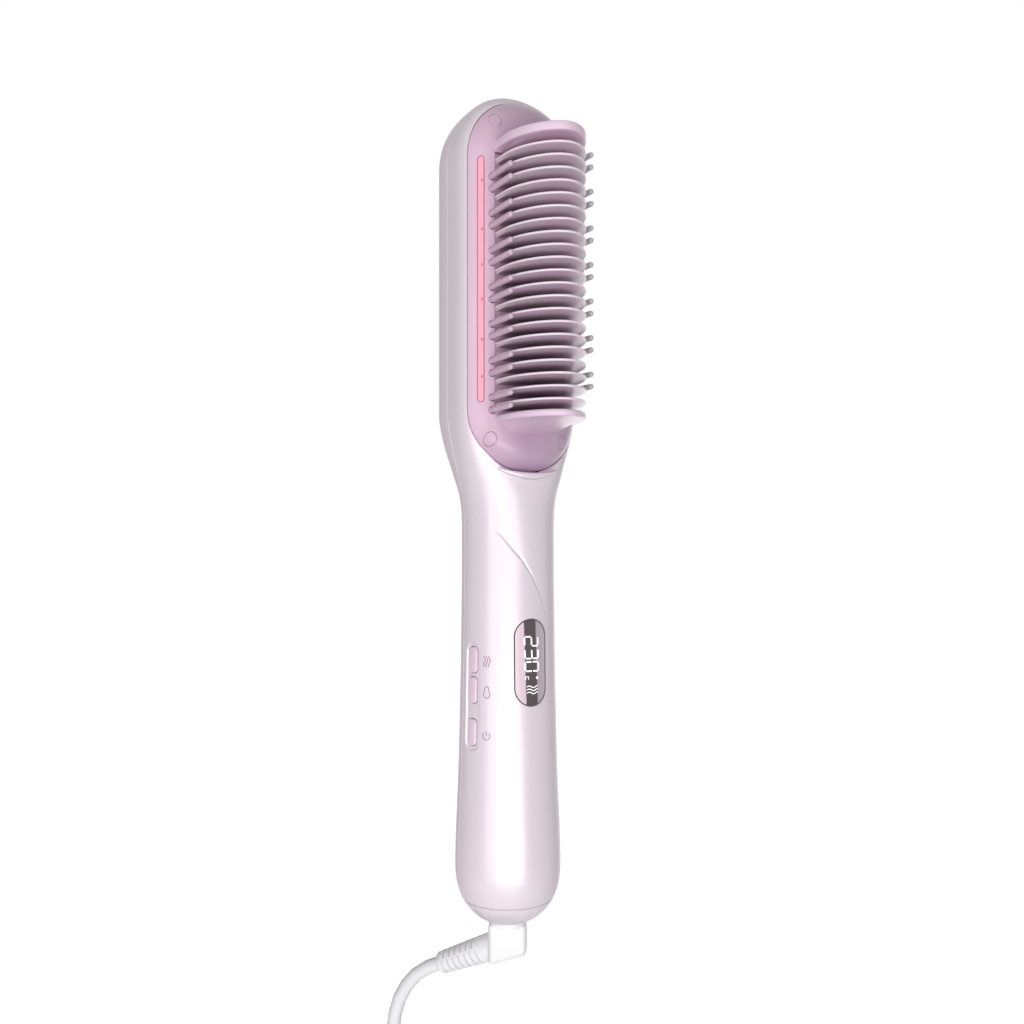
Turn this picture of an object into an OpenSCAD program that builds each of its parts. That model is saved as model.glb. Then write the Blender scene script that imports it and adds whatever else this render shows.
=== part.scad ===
// Steam straightening brush: a heated comb on a domed face plate, a water tank
// in the handle, three side buttons, a display and a swivelling mains cord.
// Millimetres, +Z up the handle, comb to -Y, origin on the handle's axis at the grip.

/* [Body] */
// Length of the handle up to the face plate's lower end
handle_l = 158; // [150:1:166]
// Height of the grip's middle above the bottom end
grip_h = 60; // [50:1:70]
// Handle radius at its thick lower end
foot_r = 18.6; // [17.6:0.1:20]
// Handle radius at its slim upper part
neck_r = 16.2; // [15.8:0.1:17.2]
// Rim of the head beside the face plate
head_rim = 1.8; // [1.4:0.1:2.6]
// Rim of the head above the face plate
top_rim = 4.8; // [3.5:0.1:7]
// Depth of the head in front of the handle's axis
head_front = 14; // [13:0.1:16]
// Depth of the head behind the handle's axis
head_back = 16.5; // [15.5:0.1:19]
// Wall thickness of the two shells
wall = 2; // [1.7:0.1:2.3]
// Distance of the shells' parting plane behind the handle's axis
part_y = 2; // [0.5:0.5:4]
// Height of the end cap
cap_h = 8; // [7:0.5:10]
// Height of the handle's rounded foot
foot_dome = 21; // [18:1:26]
// Height of the head's rounded top
head_dome = 25; // [22:1:30]

/* [Face plate] */
// Width of the face plate
plate_w = 42.1; // [40:0.1:46]
// Length of the face plate
plate_l = 127.7; // [122:0.1:134]
// Distance of the plate's edge behind the head's front
plate_drop = 3.8; // [3:0.1:4.6]
// Height of the plate's crown above its edge
plate_crown = 6.8; // [6:0.1:8]
// Thickness of the plate
plate_t = 2; // [1.6:0.1:2.4]
// Gap between the plate and its seat
plate_gap = 0.15; // [0.1:0.05:0.3]
// Width of the ledge that carries the plate
ledge_w = 2.4; // [1.8:0.1:3]

/* [Comb] */
// Number of fins
fin_count = 21; // [15:2:21]
// Distance from fin to fin
fin_pitch = 4.1; // [3.8:0.05:4.2]
// Width of the fins
fin_w = 27.7; // [24:0.1:28]
// How far the fins stand in front of the plate's crown
fin_reach = 25.2; // [20:0.1:30]
// Depth of the fins' rounded nose
fin_nose = 19.6; // [15:0.1:22]
// Thickness of the fins at their root
fin_root_t = 2.3; // [1.8:0.1:2.8]
// Thickness of the fins' rim
fin_rim_t = 1; // [0.8:0.1:1.6]
// Distance of the comb's middle below the plate's middle
comb_drop = 0.8; // [0:0.1:2]
// Thickness of the comb's base
comb_t = 3.8; // [3:0.1:4.5]
// Distance of the comb's floor behind the plate's crown
comb_floor = 1.7; // [1.2:0.1:2.4]
// Gap round the comb in the plate
comb_gap = 0.2; // [0.1:0.05:0.4]
// Thickness of the guards' rim
guard_t = 3; // [2.4:0.1:3.6]
// Height of the lower guard's keel
keel_h = 5.2; // [4:0.1:6.5]

/* [Pins] */
// Distance of the pin rows from the middle
pin_x = 15.5; // [15.3:0.1:16]
// Radius of the pins
pin_r = 1; // [0.8:0.05:1.05]
// How far the pins stand in front of their bar
pin_l = 19.5; // [16:0.5:24]
// Gap round each pin in the plate
pin_gap = 0.15; // [0.1:0.05:0.2]

/* [Steam strip] */
// Length of the strip
strip_l = 82; // [70:1:86]
// Width of the strip
strip_w = 2.8; // [2.4:0.1:3]
// Thickness of the strip
strip_t = 1; // [0.8:0.1:1.3]
// Gap round the strip
strip_gap = 0.08; // [0.05:0.01:0.15]
// Radius of the steam outlets
outlet_r = 0.5; // [0.4:0.05:0.6]

/* [Screws and caps] */
// Radius of the caps over the plate's screws
cap_r = 2.5; // [2.2:0.1:2.8]
// Radius of the screw shafts
screw_r = 1; // [0.8:0.1:1.3]
// Length of the screw shafts
screw_l = 8; // [6:0.5:10]

/* [Display] */
// Width of the window
window_w = 12.5; // [11:0.1:14]
// Length of the window
window_l = 30; // [26:0.5:34]
// Distance of the window's middle below the tank
window_drop = 23; // [22:0.5:26]
// Thickness of the window
window_t = 1.4; // [1.2:0.1:1.6]

/* [Buttons] */
// Angle of the button row from the left side towards the front
button_turn = 14; // [10:1:18]
// Distance of the button recess's middle below the window's middle
recess_drop = 12; // [10:0.5:14]
// Length of the recess
recess_l = 36; // [34:0.5:40]
// Width of the recess
recess_w = 6; // [5.6:0.1:6.6]
// Depth of the recess
recess_d = 0.8; // [0.6:0.1:1]
// Length of each button
button_l = 9; // [8:0.1:9.4]
// Width of each button
button_w = 4.1; // [4:0.1:4.8]
// Gap round each button
button_gap = 0.2; // [0.15:0.05:0.3]
// How far a button can be pressed
button_travel = 0.7; // [0.5:0.1:0.8]

/* [Water] */
// Distance from the tank to the pump
tank_gap = 9; // [8.5:0.5:12]
// Length of the tank
tank_l = 33; // [28:1:34]
// Wall thickness of the tank
tank_t = 1.2; // [1:0.1:1.6]
// Radius of the filler's bore
filler_r = 3.4; // [3:0.1:3.8]
// Radius of the stopper's head
stopper_r = 5.4; // [5:0.1:6]
// Radius of the water tubes' bore
tube_r = 1.8; // [1.4:0.1:2.2]
// Wall thickness of the water tubes
tube_t = 0.9; // [0.7:0.1:1.2]
// Radius of the pump
pump_r = 7.5; // [6.5:0.1:8]
// Length of the pump
pump_l = 20; // [16:1:20]

/* [Heater] */
// Length of the ceramic heater
heater_l = 60; // [56:1:62]
// Thickness of the ceramic heater
heater_t = 2.2; // [2:0.1:2.4]
// Thickness of the clamp behind the heater
clamp_t = 1.2; // [1:0.1:1.4]

/* [Swivel and cord] */
// Radius of the swivel's stem
stem_r = 5; // [4.5:0.1:5.5]
// Running clearance of the stem in its bush
stem_gap = 0.06; // [0.03:0.01:0.09]
// Length of the swivel block along the cord
block_l = 12; // [11:0.1:14]
// Width of the swivel block
block_w = 11; // [10.5:0.1:13]
// Radius of the swivel block's corners
block_corner = 3; // [2:0.1:4]
// Gap between the swivel block and the end cap
block_gap = 0.3; // [0.2:0.05:0.5]
// Direction of the cord from the left side towards the back
cord_turn = 54; // [0:1:90]
// Slope of the strain relief
boot_fall = 24; // [24:1:24]
// Length of the strain relief outside the block
boot_l = 22.5; // [20:0.5:26]
// Radius of the strain relief at the block
boot_r = 5; // [4.7:0.1:5.2]
// Radius of the strain relief's tip
boot_tip_r = 3.9; // [3.6:0.1:4.4]
// Distance from rib to rib of the strain relief
boot_pitch = 2.55; // [2.3:0.05:2.6]
// Diameter of the cord
cord_d = 5.2; // [4.8:0.1:5.4]
// Width of the plug
plug_w = 35.4; // [32:0.1:38]
// Thickness of the plug
plug_t = 13.6; // [11:0.1:16]
// Radius of the plug's pins
plug_pin_r = 2; // [2:0.1:2.4]
// Length of the plug's pins
plug_pin_l = 19; // [17:0.5:20]
// Distance between the plug's pins
plug_spacing = 18.6; // [17:0.1:19.2]

/* [Detail] */
// Smoothness of round pieces
smooth = 64; // [32:8:96]

/* [Hidden] */
$fn = smooth;

shell_c = [0.9, 0.87, 0.9];
plate_c = [0.82, 0.69, 0.8];
button_c = [0.88, 0.8, 0.88];
strip_c = [1, 0.62, 0.7];
white_c = [0.95, 0.95, 0.96];
metal_c = [0.75, 0.76, 0.78];
dark_c = [0.24, 0.2, 0.24];
board_c = [0.1, 0.4, 0.25];
cord_c = [0.93, 0.93, 0.94];

eps = 0.02;
plate_r = plate_w / 2;
head_r = plate_r + head_rim;
plate_top = handle_l + plate_l;
plate_mid = handle_l + plate_l / 2;
tank_h = handle_l - tank_gap - tank_l;
window_h = tank_h - window_drop;
recess_h = window_h - recess_drop;
body_h = plate_top + top_rim;
dome_h = body_h - head_dome;
plate_y = head_front - plate_drop;
crown_y = plate_y + plate_crown;
foot_power = 2.25;

// Half width, depth and squareness of the body at a height, drawn in by w
function foot(h) = h >= foot_dome ? 1 :
  pow(1 - pow(1 - max(h, 0) / foot_dome, foot_power), 1 / foot_power);
function handle_r(h) = foot(h) * lookup(h, [[foot_dome, foot_r], [57, foot_r - 1.2],
  [100, neck_r + 0.3], [130, neck_r]]);
function head_share(h) = lookup(h - handle_l, [[-16, 0], [-7, 0.04], [-3, 0.15], [2, 0.37],
  [7, 0.61], [12, 0.79], [16, 0.92], [20, 1]]);
function square(h) = lookup(h - handle_l, [[-16, 2], [-8, 2.1], [0, 2.6], [7, 3.2], [14, 3.8], [20, 4]]);
function top_share(h, w, p) = h <= dome_h ? 1 :
  pow(1 - pow(min(1, (h - dome_h) / (head_dome - w)), p), 1 / p);
function half_w(h, w) =
  (handle_r(h) + (head_r - neck_r) * head_share(h) - w) * top_share(h, w, 2);
function front_d(h, w) = top_share(h, w, 3) * ((h < handle_l - 16 ? handle_r(h) :
  lookup(h - handle_l, [[-16, neck_r], [-8, neck_r - 0.3], [-4, neck_r - 1.5], [0, plate_y + 2.6],
  [4, plate_y + 2.3], [12, head_front - 0.8], [20, head_front]])) - w);
function back_d(h, w) =
  (handle_r(h) + (head_back - neck_r) * head_share(h) - w) * top_share(h, w, 2.4);

// One half's outline at a height, clockwise from above
function super(a, d, n, t) = [a * sign(cos(t)) * pow(abs(cos(t)), 2 / n), d * pow(abs(sin(t)), 2 / n)];
function wide_at(a, d, n, y) = a * pow(1 - pow(min(1, y / d), n), 1 / n);
function front_ring(h, w, n) = let (a = half_w(h, w), d = front_d(h, w), b = back_d(h, w), s = square(h),
    y = min(part_y, b * 0.98), x = w > 0 ? a : wide_at(a, b, s, y))
  concat([for (i = [0:n]) let (q = super(a, d, s, 180 * i / n)) [q[0], -q[1], h]],
    [[-x, y + (w > 0 ? 1 : 0), h], [x, y + (w > 0 ? 1 : 0), h]]);
function rear_ring(h, w, n) = let (a = half_w(h, w), b = back_d(h, w), s = square(h),
    y = min(part_y, b * 0.98), t0 = asin(pow(y / b, s / 2)), x = wide_at(a, b, s, y))
  concat([for (i = [0:n]) let (q = super(a, b, s, 180 - t0 - (180 - 2 * t0) * i / n)) [q[0], q[1], h]],
    w > 0 ? [[x, y - 1, h], [-x, y - 1, h]] : []);

module loft(rings) {
  m = len(rings[0]);
  k = len(rings);
  polyhedron(points = [for (r = rings) for (p = r) p],
    faces = concat([[for (j = [m - 1:-1:0]) j]], [[for (j = [0:m - 1]) (k - 1) * m + j]],
      [for (i = [0:k - 2]) for (j = [0:m - 1])
        [i * m + j, i * m + (j + 1) % m, (i + 1) * m + (j + 1) % m, (i + 1) * m + j]]));
}

outer_h = concat([cap_h, cap_h + 2.5, cap_h + 5.5, cap_h + 9, foot_dome, 36, 57, 78, 100, 130],
  [for (d = [-16, -12, -8, -6, -4, -2, 0, 2, 4.5, 7, 9.5, 12, 14, 16, 18, 20]) handle_l + d],
  [dome_h], [for (t = [10:10:80]) dome_h + head_dome * sin(t)],
  [for (t = [85, 88.5]) dome_h + head_dome * sin(t)]);
inner_h = concat([cap_h - 1, cap_h + 3, cap_h + 7, foot_dome, 57, 100, 130],
  [for (d = [-16, -8, -4, 0, 4.5, 9.5, 14, 20]) handle_l + d],
  [dome_h], [for (t = [20, 40, 55, 70, 82]) dome_h + (head_dome - wall) * sin(t)]);

module up() translate([0, 0, -grip_h]) children();

// Plate: a half profile turned round both ends and drawn between them
module stadium(l) {
  for (s = [0, 1]) translate([0, (s - 0.5) * l, 0]) rotate([0, 0, 180 + 180 * s])
    rotate_extrude(angle = 180) children();
  rotate([90, 0, 0]) linear_extrude(l, center = true) {
    children();
    mirror([1, 0]) children();
  }
}
module on_plate() translate([0, 0, plate_mid]) rotate([90, 0, 0]) stadium(plate_l - plate_w) children();
shares = [1, 0.94, 0.87, 0.79, 0.69, 0.56, 0.38, 0];
function dome_at(q) = plate_crown * (1 - pow(q, 3.5));
module plate_profile() polygon(concat([[0, plate_y - plate_t], [plate_r, plate_y - plate_t]],
  [for (q = shares) [q * plate_r, plate_y + dome_at(q)]]));
module plate_core() polygon(concat([[0, plate_y - plate_t - 1], [plate_r - plate_t * 0.8, plate_y - plate_t - 1]],
  [for (q = shares) [q * (plate_r - plate_t * 0.8), plate_y - plate_t + dome_at(q)]]));
module slot_profile(r, y0, y1) translate([0, y0]) square([r, y1 - y0]);
module seat_profile() polygon([[0, plate_y - plate_t], [plate_r + plate_gap, plate_y - plate_t],
  [plate_r + plate_gap, plate_y], [plate_r + plate_gap + 6, plate_y + 6.5],
  [plate_r + plate_gap + 6, plate_y + 20], [0, plate_y + 20]]);

// Screw places on the plate, symmetrical left and right
cap_spots = [for (s = [-1, 1]) for (e = [[-14.2, handle_l + 10.6], [-12.4, plate_top - 10]]) [s * e[0], e[1]]];
head_seat = plate_y + 0.4;
cap_floor = head_seat + 1.3;
boss_r = cap_r + 0.9;

// Comb
comb_mid = plate_mid - comb_drop;
comb_l = (fin_count - 1) * fin_pitch + 4;
comb_y = crown_y - comb_floor;
fin_tip = crown_y + fin_reach;
plan_n = 18;
function plan_point(j, d) = let (w = fin_w / 2 - d, t = 180 * (j - 1) / (plan_n - 2))
  j == 0 ? [w, -comb_y + 0.4] : j == plan_n ? [-w, -comb_y + 0.4] :
  [w * sign(cos(t)) * pow(abs(cos(t)), 1.11), -(fin_tip - fin_nose) - (fin_nose - d) * pow(sin(t), 1.11)];

// Blade: its rim runs round the plan, its root line lies on the comb's floor
module blade(rim_t, root_up, root_down, w_up, w_down) {
  m = 5;
  levels = [for (j = [0:plan_n]) let (c = cos(180 * j / plan_n), a = plan_point(j, 0.35), b = plan_point(j, 0))
    [[w_up * c, -comb_y + 0.4, root_up], [a[0], a[1], rim_t / 2], [b[0], b[1], 0],
     [a[0], a[1], -rim_t / 2], [w_down * c, -comb_y + 0.4, -root_down]]];
  back = concat([2, 1], [for (j = [0:plan_n]) j * m], [for (k = [1:3]) plan_n * m + k],
    [for (j = [plan_n:-1:0]) j * m + 4], [3]);
  polyhedron(points = [for (l = levels) for (p = l) p],
    faces = concat([back], [for (j = [0:plan_n - 1]) for (k = [0:3]) for (f =
      [[j * m + k + 1, (j + 1) * m + k + 1, (j + 1) * m + k], [j * m + k + 1, (j + 1) * m + k, j * m + k]]) f]));
}

// Pins stand midway between fins, in pairs that leave out every third gap
pin_groups = floor(fin_count / 3);
function pin_z(i) = comb_mid + ((fin_count + 1) / 2 - i) * fin_pitch;
function pin_heights(first) = [for (k = [0:pin_groups - 1]) for (d = [0, 1]) pin_z(first + 3 * k + d)];
bar_w = 1.8;
bar_t = 1.6;
bar_y = plate_y - plate_t + dome_at((pin_x + bar_w / 2) / (plate_r - plate_t * 0.8)) - 0.25;

// Strip: lies on the plate's slope beside the left pins
strip_x = pin_x + pin_r + pin_gap + strip_w * 0.39 + 0.35;
strip_q = strip_x / plate_r;
strip_turn = atan(3.5 * plate_crown * pow(strip_q, 2.5) / plate_r);
outlet_h = [33, 16.5, 4.8, -6.8, -20.2, -32.6];
module on_strip(out) translate([-strip_x, -plate_y - dome_at(strip_q), comb_mid + 0.7])
  rotate([0, 0, -strip_turn]) rotate([90, 0, 0]) translate([0, 0, out]) children();
module stadium_2d(w, l) {
  square([w, l - w], center = true);
  for (s = [-1, 1]) translate([0, s * (l - w) / 2]) circle(d = w);
}
module outlets(r) for (h = outlet_h) on_strip(-4) translate([0.6, h, 0]) cylinder(h = 8, r = r);

// Handle surface round the window and the buttons, drawn in by d
module core(h, d) translate([0, 0, h - 24])
  cylinder(h = 48, r1 = handle_r(h - 24) - d, r2 = handle_r(h + 24) - d);
module window_plan(inset) translate([0, 0, window_h]) rotate([90, 0, 0]) linear_extrude(30)
  stadium_2d(window_w - 2 * inset, window_l - 2 * inset);
window_in = 0.15;
window_ledge = 0.9;
module to_side() rotate([0, 0, button_turn]) children();
module side_prism(h, x0, x1) to_side() translate([-x0, 0, h]) rotate([0, -90, 0]) linear_extrude(x1 - x0) children();
module pill(l, w, r) {
  square([l - 2 * r, w], center = true);
  square([l, w - 2 * r], center = true);
  for (x = [-1, 1]) for (y = [-1, 1]) translate([x * (l / 2 - r), y * (w / 2 - r)]) circle(r);
}
button_corner = 1.9;
steam_h = recess_h + 12.7;
heat_h = recess_h + 2.3;
power_h = recess_h - 12.1;
stem_tip = handle_r(recess_h) - wall - 3.2;
switch_top = stem_tip - button_travel - 0.15;
board_x = switch_top - 2.8;
flange_out = 0.5;

ledge_y = plate_y - plate_t - 2;
ledge_in = plate_r - ledge_w;
lip_h = handle_l - 2.6;
neck_y = 11.4;
tank_r = neck_r - wall - 0.5;
filler_h = tank_h + 24;
tube_y = 3.4;
pump_y = 1.5;

module front_shell() color(shell_c) up() {
  difference() {
    loft([for (h = outer_h) front_ring(h, 0, 20)]);
    difference() {
      loft([for (h = inner_h) front_ring(h, wall, 12)]);
      on_plate() translate([ledge_in, ledge_y]) square([ledge_w + 2, 20]);
      for (s = cap_spots) translate([s[0], -2, s[1]]) rotate([90, 0, 0]) cylinder(h = 20, r = boss_r);
    }
    on_plate() seat_profile();
    for (s = cap_spots) translate([s[0], 0, s[1]]) rotate([90, 0, 0]) cylinder(h = 20, r = screw_r + eps);
    difference() {
      window_plan(0);
      core(window_h, window_in + window_t + eps);
    }
    window_plan(window_ledge);
    difference() {
      side_prism(recess_h, 10, 24) stadium_flat(recess_w, recess_l);
      to_side() core(recess_h, recess_d);
    }
    for (h = [steam_h, heat_h, power_h]) side_prism(h, 8, 24)
      pill(button_l + 2 * button_gap, button_w + 2 * button_gap, button_corner + button_gap);
  }
  // Crescent lip under the plate
  intersection() {
    translate([0, -10, 0]) rotate([90, 0, 0]) linear_extrude(12) difference() {
      translate([0, lip_h + 22.3]) circle(22.3);
      translate([0, lip_h + 49.1]) circle(47.2);
    }
    translate([0, 8, lip_h - 5]) cylinder(h = 20, r = 23);
  }
}
module stadium_flat(w, l) rotate([0, 0, 90]) stadium_2d(w, l);

module rear_shell() color(shell_c) up() difference() {
  union() {
    difference() {
      loft([for (h = outer_h) rear_ring(h, 0, 18)]);
      loft([for (h = inner_h) rear_ring(h, wall, 12)]);
    }
    // Cradles for the pump
    for (h = [handle_l + 4, handle_l + 14]) translate([0, 0, h]) linear_extrude(3) difference() {
      translate([-8.5, 5]) square([17, head_back - wall - 4.9]);
      translate([0, pump_y]) circle(pump_r + 0.2);
    }
  }
  translate([0, 5, filler_h]) rotate([-90, 0, 0]) cylinder(h = 20, r = filler_r + 1.2);
  translate([0, neck_r - 1.3, filler_h]) rotate([-90, 0, 0]) cylinder(h = 9, r = stopper_r + 0.2);
}

bush_r = stem_r + 2.5;
collar_r = bush_r - 0.8;
collar_h = 1.6;
block_top = 0.9 - block_gap;
module end_cap() color(shell_c) up() difference() {
  union() {
    rotate_extrude() polygon(concat([[0, 0.3]], [for (h = [0.3, 0.8, 1.5, 2.5, 4, 6, cap_h]) [handle_r(h), h]],
      [[0, cap_h]]));
    translate([0, 0, cap_h - 1]) cylinder(h = 3.5, r = handle_r(cap_h) - wall - 0.55);
  }
  translate([0, 0, -1]) cylinder(h = 9, r = collar_r + 0.4);
  translate([0, 0, collar_h + block_gap]) cylinder(h = cap_h + 9, r = bush_r + eps);
  translate([0, 0, cap_h]) cylinder(h = 9, r = handle_r(cap_h) - wall - 2.3);
}

module face_plate() color(plate_c) up() difference() {
  union() {
    difference() {
      on_plate() plate_profile();
      on_plate() plate_core();
    }
    intersection() {
      on_plate() plate_profile();
      for (s = cap_spots) translate([s[0], 0, s[1]]) rotate([90, 0, 0]) cylinder(h = 30, r = boss_r);
    }
  }
  translate([0, 0, comb_mid]) cube([fin_w + 2 * comb_gap, 60, comb_l + 2 * comb_gap], center = true);
  for (s = cap_spots) translate([s[0], 0, s[1]]) rotate([90, 0, 0]) {
    cylinder(h = 30, r = screw_r + 0.15);
    translate([0, 0, head_seat]) cylinder(h = 20, r = cap_r + strip_gap);
  }
  for (h = pin_heights(2.5)) translate([-pin_x, 0, h]) rotate([90, 0, 0]) cylinder(h = 30, r = pin_r + pin_gap);
  for (h = pin_heights(0.5)) translate([pin_x, 0, h]) rotate([90, 0, 0]) cylinder(h = 30, r = pin_r + pin_gap);
  on_strip(-strip_t + 0.1) linear_extrude(9) stadium_2d(strip_w + 2 * strip_gap, strip_l + 2 * strip_gap);
  outlets(outlet_r + 0.1);
}

module heater_comb() color(metal_c) up() {
  translate([-fin_w / 2, -comb_y, comb_mid - comb_l / 2]) cube([fin_w, comb_t, comb_l]);
  for (i = [1:fin_count]) translate([0, 0, pin_z(i)])
    blade(fin_rim_t, fin_root_t / 2, fin_root_t / 2, fin_w * 0.46, fin_w * 0.46);
}
module guard(i, keel, w) up() difference() {
  translate([0, 0, pin_z(i)]) blade(guard_t - 0.8, guard_t / 2, keel, fin_w * 0.48, w);
  on_plate() translate([0, 0.01]) plate_profile();
}
module top_guard() color(plate_c) guard(-0.03, guard_t / 2, fin_w * 0.48);
module bottom_guard() color(plate_c) guard(fin_count + 1, keel_h, fin_w * 0.29);

module pin_bar(x, heights) {
  z0 = min(heights) - 1.6;
  translate([x - bar_w / 2, -bar_y, z0]) cube([bar_w, bar_t, max(heights) + 1.6 - z0]);
  for (h = heights) translate([x, -bar_y + 0.5, h]) rotate([90, 0, 0]) {
    cylinder(h = pin_l + 0.5 - pin_r, r = pin_r);
    translate([0, 0, pin_l + 0.5 - pin_r]) sphere(pin_r);
  }
}
module left_pins() color(metal_c) up() pin_bar(-pin_x, pin_heights(2.5));
module right_pins() color(metal_c) up() pin_bar(pin_x, pin_heights(0.5));

module steam_strip() color(strip_c) up() difference() {
  on_strip(-strip_t + 0.1 + eps) linear_extrude(strip_t) stadium_2d(strip_w, strip_l);
  outlets(outlet_r);
}
module screw_caps() color(plate_c) up() intersection() {
  on_plate() plate_profile();
  for (s = cap_spots) translate([s[0], -cap_floor, s[1]]) rotate([90, 0, 0]) cylinder(h = 30, r = cap_r);
}
module plate_screws() color(metal_c) up() for (s = cap_spots)
  translate([s[0], -head_seat, s[1]]) rotate([90, 0, 0]) {
    cylinder(h = 1.2, r = screw_r + 0.9);
    translate([0, 0, -screw_l]) cylinder(h = screw_l, r = screw_r);
  }

module display_window() color(dark_c) up() intersection() {
  window_plan(0.1);
  difference() {
    core(window_h, window_in);
    core(window_h, window_in + window_t);
  }
}
board_h = window_h - 31;
board_l = 48;
module display_module() color(dark_c) up() {
  translate([-4.8, -12.6, window_h - 14]) cube([10.3, 10.5, 28]);
  intersection() {
    window_plan(window_ledge + 0.4);
    translate([-8, -14.1, window_h - 20]) cube([16, 2.1, 40]);
  }
}

module button(h) up() {
  intersection() {
    side_prism(h, handle_r(h) - wall - 1.2, 24) pill(button_l, button_w, button_corner);
    to_side() core(recess_h, -0.3);
  }
  side_prism(h, handle_r(h) - wall - 1.7, handle_r(h) - wall - 0.8)
    pill(button_l + 2 * flange_out, button_w + 2 * flange_out, button_corner);
  side_prism(h, stem_tip, handle_r(h) - wall - 1) circle(1.2);
}
module steam_button() color(button_c) button(steam_h);
module temperature_button() color(button_c) button(heat_h);
module power_button() color(button_c) button(power_h);
module tact_switches() color(metal_c) up() for (h = [steam_h, heat_h, power_h]) {
  side_prism(h, board_x, switch_top - 0.7) square([4.6, 4.6], center = true);
  side_prism(h, board_x + 1, switch_top) circle(1.2);
}
module button_board() color(board_c) up() to_side()
  translate([-board_x, -3.4, recess_h - 20]) cube([1.4, 6.3, 40]);
module main_board() color(board_c) up() translate([-4.5, -2.1, board_h]) cube([14.5, 1.6, board_l]);
chassis_w = handle_r(board_h + board_l + 2) - wall - 0.45;
module chassis() color(white_c) up() {
  translate([-chassis_w, 1.5, board_h - 2]) cube([2 * chassis_w, 1.5, board_l + 4]);
  for (x = [-2.5, 8]) for (h = [4, board_l - 4]) translate([x, 1.6, board_h + h]) rotate([90, 0, 0])
    cylinder(h = 2.1, r = 1.8);
  for (h = [recess_h - 21.6, recess_h + 20]) translate([-10, -4.4, h]) cube([5.1, 6, 1.6]);
}

module water_tank() color([0.85, 0.9, 0.95]) up() difference() {
  union() {
    intersection() {
      translate([0, 0, tank_h]) cylinder(h = tank_l, r = tank_r);
      translate([-11, -30, 0]) cube([22, 60, 400]);
    }
    translate([0, tank_r - 3, filler_h]) rotate([-90, 0, 0]) cylinder(h = 4, r = filler_r + 1);
    translate([0, -tube_y, tank_h + tank_l - 0.5]) cylinder(h = 3.5, r = tube_r - 0.05);
  }
  intersection() {
    translate([0, 0, tank_h + tank_t]) cylinder(h = tank_l - 2 * tank_t, r = tank_r - tank_t);
    translate([-11 + tank_t, -30, 0]) cube([22 - 2 * tank_t, 60, 400]);
  }
  translate([0, tank_r - 5, filler_h]) rotate([-90, 0, 0]) cylinder(h = 9, r = filler_r);
  translate([0, -tube_y, tank_h + tank_l - 3]) cylinder(h = 9, r = 0.9);
}
module filler_stopper() color(plate_c) up() {
  translate([0, tank_r - 2.5, filler_h]) rotate([-90, 0, 0])
    cylinder(h = neck_r - 1.1 - tank_r + 2.5, r = filler_r - 0.1);
  intersection() {
    translate([0, neck_r - 1.2, filler_h]) rotate([-90, 0, 0]) cylinder(h = 4, r = stopper_r);
    translate([0, 0, filler_h - 20]) cylinder(h = 40, r = neck_r + 0.15);
  }
  translate([-2.6, neck_r - 0.6, filler_h - 0.7]) cube([5.2, 1.6, 1.4]);
}

pump_h = handle_l;
chamber_l = heater_l - 8;
chamber_h = comb_mid - chamber_l / 2 - 1;
manifold_l = strip_l - 8;
module hose(h0, h1) translate([0, -tube_y, h0]) difference() {
  cylinder(h = h1 - h0, r = tube_r + tube_t);
  translate([0, 0, -1]) cylinder(h = h1 - h0 + 2, r = tube_r);
}
module water_tubes() color([0.9, 0.9, 0.92]) up() {
  hose(tank_h + tank_l + 0.1, pump_h - 0.1);
  hose(pump_h + pump_l + 0.1, chamber_h - 0.1);
}
module pump() color(dark_c) up() difference() {
  union() {
    translate([0, pump_y, pump_h]) cylinder(h = pump_l, r = pump_r);
    translate([0, -tube_y, pump_h - 3.5]) cylinder(h = pump_l + 7, r = tube_r - 0.05);
  }
  for (h = [-5, pump_l - 2]) translate([0, -tube_y, pump_h + h]) cylinder(h = 7, r = 0.8);
}

heater_y = comb_y - comb_t;
chamber_y = heater_y - heater_t - clamp_t;
module ceramic_heater() color(white_c) up()
  translate([-8, -heater_y, comb_mid - heater_l / 2]) cube([16, heater_t, heater_l]);
module heater_clamp() color(metal_c) up() {
  translate([-12.5, -heater_y + heater_t, comb_mid - heater_l / 2 - 4]) cube([25, clamp_t, heater_l + 8]);
  for (x = [-11, 11]) for (s = [-1, 1]) translate([x, -heater_y + heater_t + 0.2, comb_mid + s * (heater_l / 2 + 2)])
    rotate([90, 0, 0]) cylinder(h = heater_t + 0.2, r = 1.4);
}
module steam_chamber() color(metal_c) up() difference() {
  union() {
    translate([-12, -chamber_y, chamber_h]) cube([24, 7, chamber_l]);
    translate([0, -tube_y, chamber_h - 3.5]) cylinder(h = 4, r = tube_r - 0.05);
  }
  translate([-10.5, -chamber_y + 1.5, chamber_h + 1.5]) cube([21, 4, chamber_l - 3]);
  translate([0, -tube_y, chamber_h - 5]) cylinder(h = 8, r = 0.8);
  translate([-14, -chamber_y + 2.6, comb_mid]) rotate([0, 90, 0]) cylinder(h = 5, r = 0.9);
}
manifold_y = bar_y - bar_t - 0.35;
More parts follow.
